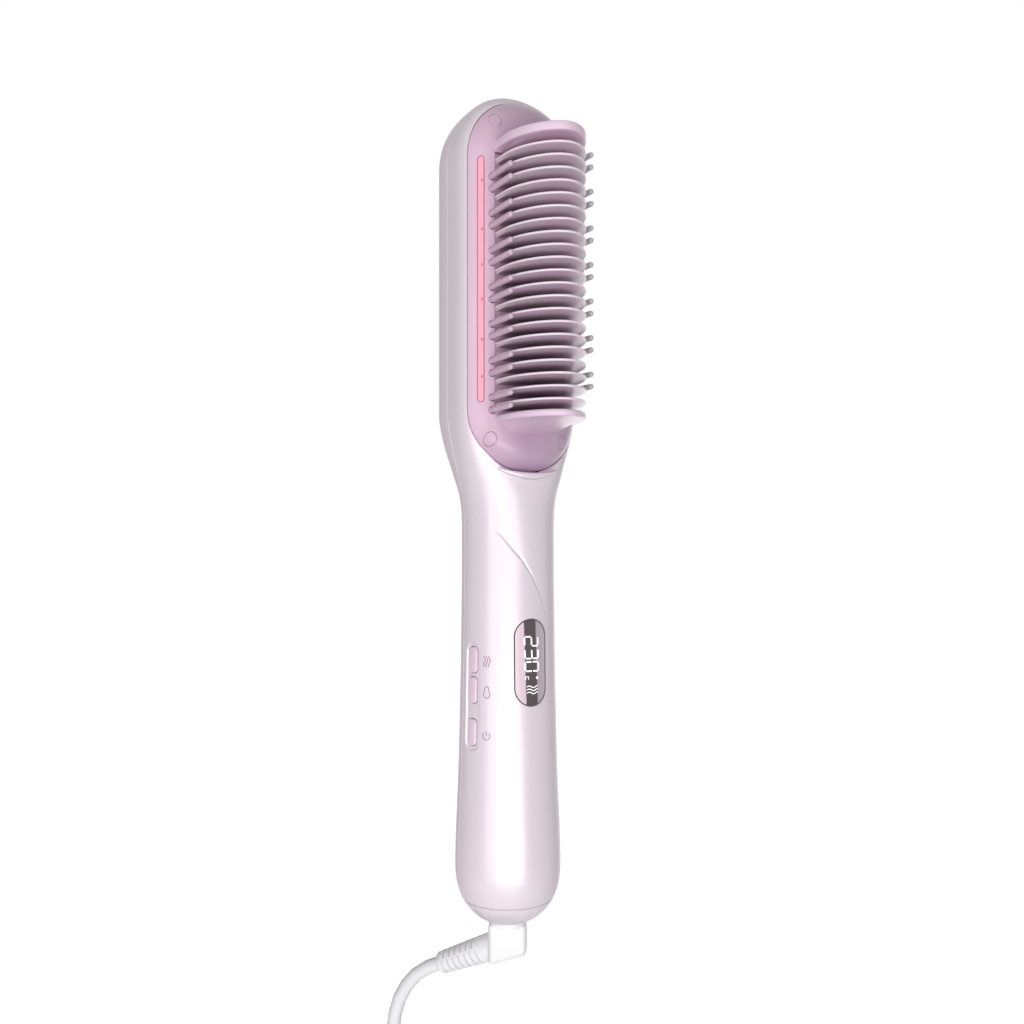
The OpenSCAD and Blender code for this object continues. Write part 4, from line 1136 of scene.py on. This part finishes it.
class BRUSH_OT_cord(bpy.types.Operator):
    """Mains cord, folded into a hank for storage, with its tie and plug"""
    bl_idname = "brush.cord"
    bl_label = "Cord"

    def execute(self, context):
        size = sizes()
        per_turn = 48
        points = [(-x, 0, h) for x, h in CORD_ROUTE]
        points += [hank_place(k / per_turn) for k in range(1, int(HANK_TURNS * per_turn) + 1)]
        end = points[-1]
        points += [(end[0], end[1], end[2] - size["cord_d"] - TAIL_L * k / 4) for k in range(5)]
        places = [place(*cord_frame(*p)) for p in points]
        curve = bpy.data.curves.new("mains_cord", "CURVE")
        curve.dimensions = "3D"
        spline = curve.splines.new("POLY")
        spline.points.add(len(places) - 1)
        for point, p in zip(spline.points, places):
            point.co = (*p, 1)
        curve.bevel_depth = size["cord_d"] / 2 * MM
        curve.bevel_resolution = 5
        curve.use_fill_caps = True
        cord = bpy.data.objects.new("mains_cord", curve)
        bpy.context.scene.collection.objects.link(cord)
        curve.materials.append(finish("cord_sleeve"))
        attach(cord, "cord_swivel")
        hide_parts("cord_upper", "cord_hank", "cord_lower")

        tie = self.tie(size)
        plug = self.plug(points[-1])
        return {"FINISHED"}

    def tie(self, size):
        """Soft strap round the hank's waist."""
        tie_x = HANK_OUTER - HANK_WAIST + size["cord_d"] / 2 + 0.9
        tie_y = HANK_STEP / 2 + size["cord_d"] / 2 + 0.25
        wall, half = 1.2, 5.0
        rounded = [(0.0, half - 0.5), (0.15, half - 0.15), (0.5, half)]
        top = rounded + [(wall - inset, up) for inset, up in reversed(rounded)]
        turns = [(0.0, 0.5 - half)] + top + [(inset, -up) for inset, up in reversed(top)][:-1]
        rings = []
        for inset, up in turns + turns[:1]:
            outline = plan_ring(2 * (tie_x + wall), 2 * (tie_y + wall), 3.4, inset)
            rings.append([cord_frame(p + HANK_X, q + HANK_STEP / 2, HANK_H + up) for p, q in outline])
        return piece(loft("hank_strap", rings, ends=False), finish("strap_weave"), "cord_swivel",
                     "tie_plastic", "hank_tie", angle=40)

    def plug(self, top):
        """Two-pin plug with a rounded grip and a soft neck."""
        x0, y0, h0 = cord_frame(*top)
        wide, thick, long = 35.4, 13.6, 36.0
        stations = ((0, 8, 8, 4), (1.0, 8.6, 8.6, 4.3), (5.5, 9.8, 9.8, 4.9), (7.5, 12.4, 10.8, 5.2),
                    (9.5, 19.5, 12.2, 5.4), (11.5, 26.5, 13.1, 5.4), (14, 31.5, 13.5, 5.2),
                    (17.5, 34.4, thick, 4.8), (21, wide, thick, 4.4), (27, wide, thick, 4.0),
                    (34.6, wide, thick, 4.0), (35.5, wide - 0.6, thick - 0.6, 3.7),
                    (long, wide - 1.8, thick - 1.8, 3.1))
        rings = [[(x0 + p, y0 + q, h0 - down) for p, q in plan_ring(w, t, corner, 0.0)]
                 for down, w, t, corner in stations]
        return piece(loft("plug_grip", rings), finish("white_satin"), "cord_swivel", "white_plastic",
                     "plug_body", angle=40)


# Finishes

def node(tree, kind, inputs=(), **settings):
    """New node with its settings and the values of its inputs."""
    n = tree.nodes.new(kind)
    for key, value in settings.items():
        setattr(n, key, value)
    for key, value in dict(inputs).items():
        n.inputs[key].default_value = value
    return n


def wire(tree, *links):
    """Links, each given as node, output, node, input."""
    for start, out, end, into in links:
        tree.links.new(start.outputs[out], end.inputs[into])


def ramp(tree, *stops):
    """Colour ramp through (position, colour) pairs, the first at 0 and the last at 1."""
    n = node(tree, "ShaderNodeValToRGB")
    elements = n.color_ramp.elements
    elements[0].color, elements[1].color = (*stops[0][1], 1), (*stops[-1][1], 1)
    for position, value in stops[1:-1]:
        elements.new(position).color = (*value, 1)
    return n


def object_axes(tree):
    """Object coordinates, split into X, Y and Z."""
    split = node(tree, "ShaderNodeSeparateXYZ")
    wire(tree, (node(tree, "ShaderNodeTexCoord"), "Object", split, "Vector"))
    return split


def shared_group(name, inputs, outputs, fill):
    """Node group of that name, filled at its first use."""
    if name in bpy.data.node_groups:
        return bpy.data.node_groups[name]
    tree = bpy.data.node_groups.new(name, "ShaderNodeTree")
    for way, titles in (("INPUT", inputs), ("OUTPUT", outputs)):
        for title in titles:
            kind = "NodeSocketColor" if title in ("Colour", "Tint", "Flake") else "NodeSocketFloat"
            tree.interface.new_socket(name=title, in_out=way, socket_type=kind)
    fill(tree, node(tree, "NodeGroupInput"), node(tree, "NodeGroupOutput"))
    return tree


def grain_nodes(tree, start, end):
    """Cloudy tint and fine grain."""
    where, cloud = node(tree, "ShaderNodeTexCoord"), node(tree, "ShaderNodeTexNoise")
    grain = node(tree, "ShaderNodeTexNoise", {"Detail": 4})
    share = node(tree, "ShaderNodeMath", operation="MULTIPLY")
    mix = node(tree, "ShaderNodeMix", data_type="RGBA")
    shift = node(tree, "ShaderNodeMath", {1: 0.5}, operation="SUBTRACT")
    rough = node(tree, "ShaderNodeMath", operation="MULTIPLY_ADD")
    wire(tree, (where, "Object", cloud, "Vector"), (where, "Object", grain, "Vector"),
         (start, "Cloud", cloud, "Scale"), (start, "Grain", grain, "Scale"),
         (cloud, "Fac", share, 0), (start, "Amount", share, 1), (share, 0, mix, "Factor"),
         (start, "Colour", mix, 6), (start, "Tint", mix, 7), (mix, 2, end, "Colour"),
         (grain, "Fac", shift, 0), (shift, 0, rough, 0), (start, "Spread", rough, 1),
         (start, "Roughness", rough, 2), (rough, 0, end, "Roughness"), (grain, "Fac", end, "Height"))


def flake_nodes(tree, start, end):
    """Tiny pearl flakes that lighten and tint the paint."""
    where, cells = node(tree, "ShaderNodeTexCoord"), node(tree, "ShaderNodeTexVoronoi")
    split = node(tree, "ShaderNodeSeparateColor")
    share = node(tree, "ShaderNodeMath", operation="MULTIPLY")
    mix = node(tree, "ShaderNodeMix", data_type="RGBA")
    wire(tree, (where, "Object", cells, "Vector"), (start, "Scale", cells, "Scale"),
         (cells, "Color", split, "Color"), (split, 0, share, 0), (start, "Amount", share, 1),
         (share, 0, mix, "Factor"), (start, "Colour", mix, 6), (start, "Flake", mix, 7),
         (mix, 2, end, "Colour"))


def made_finish(name, base, second, rough, cloud=40, amount=0.3, grain=900, bump=0.04, spread=0.05, glow=0.0,
                **shader):
    """A moulded finish: cloudy colour, slightly uneven gloss, a fine grain and perhaps a glow."""
    material = bpy.data.materials.new(name)
    material.use_nodes = True
    tree = material.node_tree
    surface = tree.nodes["Principled BSDF"]
    values = {"Colour": (*base, 1), "Tint": (*second, 1), "Cloud": cloud, "Amount": amount, "Grain": grain,
              "Roughness": rough, "Spread": spread}
    shared = shared_group("moulded_grain", values, ("Colour", "Roughness", "Height"), grain_nodes)
    group = node(tree, "ShaderNodeGroup", values, node_tree=shared)
    raised = node(tree, "ShaderNodeBump", {"Strength": bump, "Distance": 0.0002})
    wire(tree, (group, "Colour", surface, "Base Color"), (group, "Roughness", surface, "Roughness"),
         (group, "Height", raised, "Height"), (raised, "Normal", surface, "Normal"))
    if glow:
        shader.update(emission_color=(*base, 1), emission_strength=glow)
    for key, value in shader.items():
        surface.inputs[key.replace("_", " ").title().replace("Ior", "IOR")].default_value = value
    return material


def made_parts(material):
    """Node tree of a made finish with its grain group, its bump and its shader."""
    nodes = material.node_tree.nodes
    return (material.node_tree, *(next(n for n in nodes if n.bl_idname == "ShaderNode" + kind)
                                  for kind in ("Group", "Bump", "BsdfPrincipled")))


def pearl_paint():
    """Pearl paint with flakes."""
    material = made_finish("pearl_paint", tint("shell"), shade(226, 206, 222), 0.3, cloud=14, amount=0.25,
                           grain=1600, bump=0.02, spread=0.04, metallic=0.22, coat_weight=0.06,
                           coat_roughness=0.15, specular_ior_level=0.25,
                           specular_tint=(*shade(150, 140, 150), 1))
    tree, group, _, surface = made_parts(material)
    values = {"Flake": (*shade(255, 246, 252), 1), "Scale": 3800, "Amount": 0.18}
    flakes = node(tree, "ShaderNodeGroup", values,
                  node_tree=shared_group("pearl_flakes", ("Colour", *values), ("Colour",), flake_nodes))
    wire(tree, (group, "Colour", flakes, "Colour"), (flakes, "Colour", surface, "Base Color"))
    return material


# Ramp positions of the painted shade from blade root to rim
PAINTED_SHADE_STEPS = (0.0, 0.08, 0.25, 0.55, 0.8, 1.0)


def painted_shade_finish(name, colours, rough, **shader):
    """A moulded finish with painted shade: its colour changes from the darker roots of a blade, where shade
    falls, to its lighter rim.
    """
    material = made_finish(name, colours[-1], colours[-1], rough, **shader)
    tree, group, _, _ = made_parts(material)
    share = node(tree, "ShaderNodeAttribute", attribute_name="edge")
    shades = ramp(tree, *zip(PAINTED_SHADE_STEPS, (*colours, colours[-1])))
    darker = node(tree, "ShaderNodeMix", {"Factor": 1.0, 7: (0.88, 0.86, 0.88, 1)}, data_type="RGBA",
                  blend_type="MULTIPLY")
    wire(tree, (share, "Fac", shades, "Fac"), (shades, "Color", group, "Colour"),
         (shades, "Color", darker, 6), (darker, 2, group, "Tint"))
    return material


def fin_coat_painted_shade():
    """Coat of the fins with painted shade, darkest near their roots where shade falls between the blades,
    and lighter towards the rims.
    """
    return painted_shade_finish("fin_coat_painted_shade", (tint("plate"), shade(140, 114, 130), shade(240, 221, 234), tint("fins"),
                                     shade(252, 236, 246)), 0.34, cloud=60, amount=0.5, coat_weight=0.2)


def guard_lilac_painted_shade():
    """Lilac of the two guards with painted shade: darker at their roots and lighter towards their rims."""
    return painted_shade_finish("guard_lilac_painted_shade", (shade(228, 198, 221), shade(228, 198, 221), shade(234, 204, 226),
                                        shade(235, 206, 228), shade(239, 212, 233)), 0.36, cloud=18,
                        amount=0.35, coat_weight=0.25, coat_roughness=0.15)


def plate_lilac_painted_light():
    """Lilac coat with painted light across it: a painted highlight at the left edge and painted shade
    towards the middle, which fades at the upper end.
    """
    material = made_finish("plate_lilac_painted_light", tint("plate"), tint("plate"), 0.36, cloud=18, amount=0.35,
                           coat_weight=0.25, coat_roughness=0.15)
    tree, group, _, _ = made_parts(material)
    top = PLATE_MID + PLATE_L / 2 - GRIP_H
    axes = object_axes(tree)
    span = node(tree, "ShaderNodeMapRange", {"From Min": -PLATE_R * MM, "From Max": PLATE_R * MM})
    fade = node(tree, "ShaderNodeMapRange", {"From Min": (top - 26) * MM, "From Max": (top - 8) * MM,
                                             "To Min": 1.0, "To Max": 0.45})
    shift = node(tree, "ShaderNodeMath", operation="MULTIPLY")
    # Painted highlight at the left shoulder, painted shade just left of the middle, lighter again at the
    # right
    shades = ramp(tree, (0, shade(244, 209, 232)), (0.06, shade(234, 199, 222)),
                  (0.13, shade(210, 176, 199)), (0.45, shade(184, 158, 184)), (1, shade(210, 182, 204)))
    wire(tree, (axes, "X", span, "Value"), (axes, "Z", fade, "Value"), (span, "Result", shift, 0),
         (fade, "Result", shift, 1), (shift, 0, shades, "Fac"), (shades, "Color", group, "Colour"))
    return material


def window_band_and_painted_reflection():
    """Pane with the display's own dark band down its middle, between two sides of painted reflection,
    brightest at the left edge and greyer to the right.
    """
    material = made_finish("window_band_and_painted_reflection", shade(250, 228, 238), shade(240, 214, 228), 0.15, cloud=30,
                           amount=0.3, grain=500, bump=0.0, spread=0.03, coat_weight=0.1,
                           specular_ior_level=0.25)
    tree, group, _, surface = made_parts(material)
    middle = (sizes()["window_h"] - GRIP_H) * MM * BAND_SLANT
    half = sizes()["window_w"] / 2 * MM
    axes = object_axes(tree)
    slant = node(tree, "ShaderNodeMath", {1: BAND_SLANT}, operation="MULTIPLY_ADD")
    span = node(tree, "ShaderNodeMapRange", {"From Min": middle - half, "From Max": middle + half})
    # Painted reflection on the sides, brightest at the left edge; the middle stops are the display's own
    # dark band
    shades = ramp(tree, (0, shade(255, 246, 250)), (0.1, shade(250, 226, 236)),
                  (0.295, shade(240, 218, 228)), (0.318, tint("band")), (0.652, tint("band")),
                  (0.68, shade(190, 176, 186)), (0.85, shade(204, 192, 201)), (1, shade(226, 212, 222)))
    mix = node(tree, "ShaderNodeMix", {"Factor": 0.1}, data_type="RGBA", blend_type="MIX")
    wire(tree, (axes, "Z", slant, 0), (axes, "X", slant, 2), (slant, 0, span, "Value"),
         (span, "Result", shades, "Fac"), (shades, "Color", mix, 6), (group, "Colour", mix, 7),
         (mix, 2, surface, "Base Color"))
    return material


def window_rim():
    """Dark rim of the window with painted shade: darkest at the left and lighter towards the right."""
    material = made_finish("window_rim", shade(58, 44, 54), shade(74, 58, 69), 0.4, cloud=80, amount=0.3,
                           specular_ior_level=0.2)
    tree, group, _, _ = made_parts(material)
    half = sizes()["window_w"] / 2 * MM
    span = node(tree, "ShaderNodeMapRange", {"From Min": -half, "From Max": half})
    # Painted shade across the rim, dark at the left, lighter at the right
    shades = ramp(tree, (0, shade(44, 32, 40)), (1, shade(150, 138, 146)))
    wire(tree, (object_axes(tree), "X", span, "Value"), (span, "Result", shades, "Fac"),
         (shades, "Color", group, "Colour"))
    return material


def strap_weave():
    """Woven strap: fine crossing threads."""
    material = made_finish("strap_weave", shade(70, 66, 72), shade(96, 92, 100), 0.8, cloud=300, amount=0.6,
                           grain=2500, bump=0.3, spread=0.1)
    tree, _, bump, _ = made_parts(material)
    threads = node(tree, "ShaderNodeTexWave", {"Scale": 420}, bands_direction="DIAGONAL")
    where = node(tree, "ShaderNodeTexCoord")
    wire(tree, (where, "Object", threads, "Vector"), (threads, "Fac", bump, "Height"))
    return material


SPECIAL_FINISHES = {make.__name__: make for make in (pearl_paint, fin_coat_painted_shade, guard_lilac_painted_shade, plate_lilac_painted_light,
                                                     window_band_and_painted_reflection, window_rim, strap_weave)}
# Base shade or its name in the colours, second shade, roughness and extra settings
PLAIN_FINISHES = {
    "pin_mauve": ("pins", (206, 178, 198), 0.4, dict(cloud=120, amount=0.4)),
    # Right pins: a lighter grey copy of the pins, painted light where the comb shades them
    "pin_grey_painted_light": ((212, 209, 212), (196, 193, 196), 0.4, dict(cloud=120, amount=0.4)),
    # Painted glow: the steam strip emits a little of its own pink, though it is no lamp
    "strip_pink_painted_glow": ("strip", (246, 152, 176), 0.4, dict(cloud=50, coat_weight=0.2, glow=0.14)),
    "button_lilac": ("button", (214, 188, 214), 0.3,
                     dict(cloud=80, amount=0.35, coat_weight=0.4, coat_roughness=0.1)),
    "mark_pink": ("marks", (206, 140, 168), 0.5, dict(cloud=200)),
    "display_light": ((255, 255, 255), (236, 240, 255), 0.4, dict(amount=0.2, glow=0.6)),
    "white_satin": ("white", (244, 244, 247), 0.38, dict(cloud=50, bump=0.06)),
    "cord_sleeve": ("cord", (238, 238, 241), 0.5, dict(cloud=60, amount=0.35, bump=0.1)),
    "bright_steel": ((200, 200, 204), (176, 176, 182), 0.28,
                     dict(cloud=90, amount=0.5, metallic=1.0, grain=2400)),
    "turned_brass": ((206, 176, 110), (182, 150, 86), 0.3, dict(cloud=90, amount=0.5, metallic=1.0)),
    "cast_aluminium": ((176, 178, 182), (150, 152, 158), 0.45,
                       dict(cloud=120, amount=0.5, metallic=1.0, bump=0.15)),
    "heater_ceramic": ((238, 236, 230), (220, 216, 206), 0.55, dict(cloud=90, amount=0.4)),
    "clear_tank": ((214, 228, 238), (196, 214, 228), 0.2, dict(cloud=30)),
    "soft_rubber": ((222, 220, 222), (200, 198, 202), 0.7, dict(cloud=90, amount=0.4, bump=0.15)),
    "dark_moulding": ((52, 46, 54), (70, 62, 72), 0.5, dict(cloud=80, amount=0.5, bump=0.1)),
    "board_green": ((34, 108, 70), (26, 84, 56), 0.35, dict(cloud=260, amount=0.6)),
    "lead_blue": ((84, 84, 150), (70, 70, 130), 0.5, dict(cloud=200, amount=0.4)),
    "lead_sleeve": ((70, 62, 68), (56, 50, 55), 0.6, dict(cloud=200, amount=0.4)),
}


def finish(name):
    """The finish of that name, made at its first use."""
    if name in bpy.data.materials:
        return bpy.data.materials[name]
    if name in SPECIAL_FINISHES:
        return SPECIAL_FINISHES[name]()
    base, second, rough, extra = PLAIN_FINISHES[name]
    base = tint(base) if isinstance(base, str) else shade(*base)
    return made_finish(name, base, shade(*second), rough, **extra)


NODE_FINISHES = {
    "plate_screws": "bright_steel", "display_module": "dark_moulding", "tact_switches": "bright_steel",
    "button_board": "board_green", "main_board": "board_green", "chassis": "white_satin",
    "water_tank": "clear_tank", "filler_stopper": "plate_lilac_painted_light", "water_tubes": "soft_rubber",
    "pump": "dark_moulding", "steam_chamber": "cast_aluminium", "steam_manifold": "white_satin",
    "ceramic_heater": "heater_ceramic", "heater_clamp": "bright_steel", "thermal_fuse": "turned_brass",
    "mains_leads": "lead_blue", "heater_leads": "lead_sleeve", "swivel_bush": "turned_brass",
    "contact_block": "dark_moulding", "swivel_clip": "bright_steel", "plug_pins": "bright_steel",
}


class BRUSH_OT_inner_parts(bpy.types.Operator):
    """Finishes of the pieces that keep their construction mesh"""
    bl_idname = "brush.inner_parts"
    bl_label = "Inner parts"

    def execute(self, context):
        for name, look in NODE_FINISHES.items():
            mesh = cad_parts[name].data
            mesh.materials.clear()
            mesh.materials.append(finish(look))
        return {"FINISHED"}


# Studio

CAMERA_PLACE = (-186.2, -333.8, 129.7)
CAMERA_TURN = -29.371
LENS = 38.04
SHIFT_Y = 0.0416
AIR_LIGHT = 0.11
FLOOR_GLOW = 0.95
# Name, place, aim, width, height and power, in metres and watts
LAMPS = (("key_panel", (-0.50, -0.56, 0.14), (0, 0, 0.11), 1.17, 0.9, 4.35),
         ("low_fill", (-0.3, -0.72, -0.2), (0, 0, 0.14), 0.8, 0.2, 2.0),
         ("right_fill", (1.2, -0.5, 0.3), (0, 0, 0.08), 0.8, 1.2, 0.45),
         ("top_panel", (-0.2, -0.3, 1.4), (0, 0, 0.1), 0.9, 0.9, 0.8),
         ("back_fill", (0.44, 0.40, 0.12), (0, 0, 0.08), 0.45, 0.8, 0.8))


def panel_light(name, spot, aim, width, height, power):
    """Flat lamp at a spot, turned towards its aim and hidden from the camera."""
    data = bpy.data.lights.new(name, "AREA")
    data.shape = "RECTANGLE"
    data.size, data.size_y = width, height
    data.energy = power
    lamp = bpy.data.objects.new(name, data)
    bpy.context.scene.collection.objects.link(lamp)
    lamp.location = spot
    lamp.visible_camera = False
    lamp.rotation_euler = (Vector(aim) - Vector(spot)).to_track_quat("-Z", "Y").to_euler()


class BRUSH_OT_studio(bpy.types.Operator):
    """Camera, pale floor and soft lamps"""
    bl_idname = "brush.studio"
    bl_label = "Studio"

    def execute(self, context):
        scene = context.scene
        scene.view_settings.view_transform = "Standard"
        data = bpy.data.cameras.new("product_view")
        data.lens, data.sensor_width, data.shift_y = LENS, 36, SHIFT_Y
        camera = bpy.data.objects.new("product_view", data)
        scene.collection.objects.link(camera)
        camera.location = place(*CAMERA_PLACE)
        camera.rotation_euler = (math.pi / 2, 0, math.radians(CAMERA_TURN))
        scene.camera = camera

        floor_z = CAD_BOX[0][2] - MM
        bpy.ops.mesh.primitive_grid_add(x_subdivisions=8, y_subdivisions=8, size=8, location=(0, 0, floor_z))
        floor = context.object
        floor.name = "studio_floor"
        floor.data.materials.append(self.floor_finish())

        scene.world = bpy.data.worlds.new("studio_air")
        self.fill_air(scene.world)
        for lamp in LAMPS:
            panel_light(*lamp)
        return {"FINISHED"}

    def fill_air(self, world):
        """White to the camera, in reflections and through glass, and faint as light."""
        world.use_nodes = True
        tree = world.node_tree
        path, back = node(tree, "ShaderNodeLightPath"), tree.nodes["Background"]
        seen, also = (node(tree, "ShaderNodeMath", operation="MAXIMUM") for _ in range(2))
        strength = node(tree, "ShaderNodeMapRange", {"To Min": AIR_LIGHT, "To Max": 1.0})
        white = node(tree, "ShaderNodeMix", {6: (*shade(240, 234, 240), 1), 7: (1, 1, 1, 1)},
                     data_type="RGBA")
        wire(tree, (path, "Is Camera Ray", seen, 0), (path, "Is Glossy Ray", seen, 1), (seen, 0, also, 0),
             (path, "Is Transmission Ray", also, 1), (also, 0, strength, "Value"),
             (also, 0, white, "Factor"), (white, 2, back, "Color"), (strength, "Result", back, "Strength"))

    def floor_finish(self):
        material = bpy.data.materials.new("pale_floor")
        material.use_nodes = True
        tree = material.node_tree
        surface = tree.nodes["Principled BSDF"]
        surface.inputs["Roughness"].default_value = 0.9
        surface.inputs["Emission Color"].default_value = (1, 1, 1, 1)
        grain, path = node(tree, "ShaderNodeTexNoise", {"Scale": 30}), node(tree, "ShaderNodeLightPath")
        pale = node(tree, "ShaderNodeMix", {6: (0.8, 0.8, 0.8, 1), 7: (0.83, 0.83, 0.83, 1)},
                    data_type="RGBA")
        seen = node(tree, "ShaderNodeMath", operation="MAXIMUM")
        glow = node(tree, "ShaderNodeMath", {1: FLOOR_GLOW}, operation="MULTIPLY")
        wire(tree, (grain, "Fac", pale, "Factor"), (pale, 2, surface, "Base Color"),
             (path, "Is Camera Ray", seen, 0), (path, "Is Glossy Ray", seen, 1), (seen, 0, glow, 0),
             (glow, 0, surface, "Emission Strength"))
        return material


STEPS = (BRUSH_OT_studio, BRUSH_OT_cord, BRUSH_OT_swivel, BRUSH_OT_housing, BRUSH_OT_face_plate,
         BRUSH_OT_comb, BRUSH_OT_pins, BRUSH_OT_display, BRUSH_OT_buttons, BRUSH_OT_inner_parts)


class BRUSH_PT_panel(bpy.types.Panel):
    """Steps that build the brush, in order"""
    bl_idname = "BRUSH_PT_panel"
    bl_label = "Steam brush"
    bl_space_type = "VIEW_3D"
    bl_region_type = "UI"
    bl_category = "Brush"

    def draw(self, context):
        for step in STEPS:
            self.layout.operator(step.bl_idname)
        for group in (context.scene.brush_sizes, context.scene.brush_colours):
            box = self.layout.box()
            for name in type(group).__annotations__:
                box.prop(group, name)


CLASSES = (BrushSizes, BrushColours, *STEPS, BRUSH_PT_panel)


def register():
    """Adds the panel, its steps and its settings."""
    for cls in CLASSES:
        bpy.utils.register_class(cls)
    bpy.types.Scene.brush_sizes = bpy.props.PointerProperty(type=BrushSizes)
    bpy.types.Scene.brush_colours = bpy.props.PointerProperty(type=BrushColours)


def unregister():
    """Takes the add-on out again."""
    del bpy.types.Scene.brush_sizes
    del bpy.types.Scene.brush_colours
    for cls in reversed(CLASSES):
        bpy.utils.unregister_class(cls)


def main():
    """Runs all steps."""
    register()
    for step in STEPS:
        getattr(bpy.ops.brush, step.bl_idname.split(".")[1])()


if __name__ == "__main__":
    main()
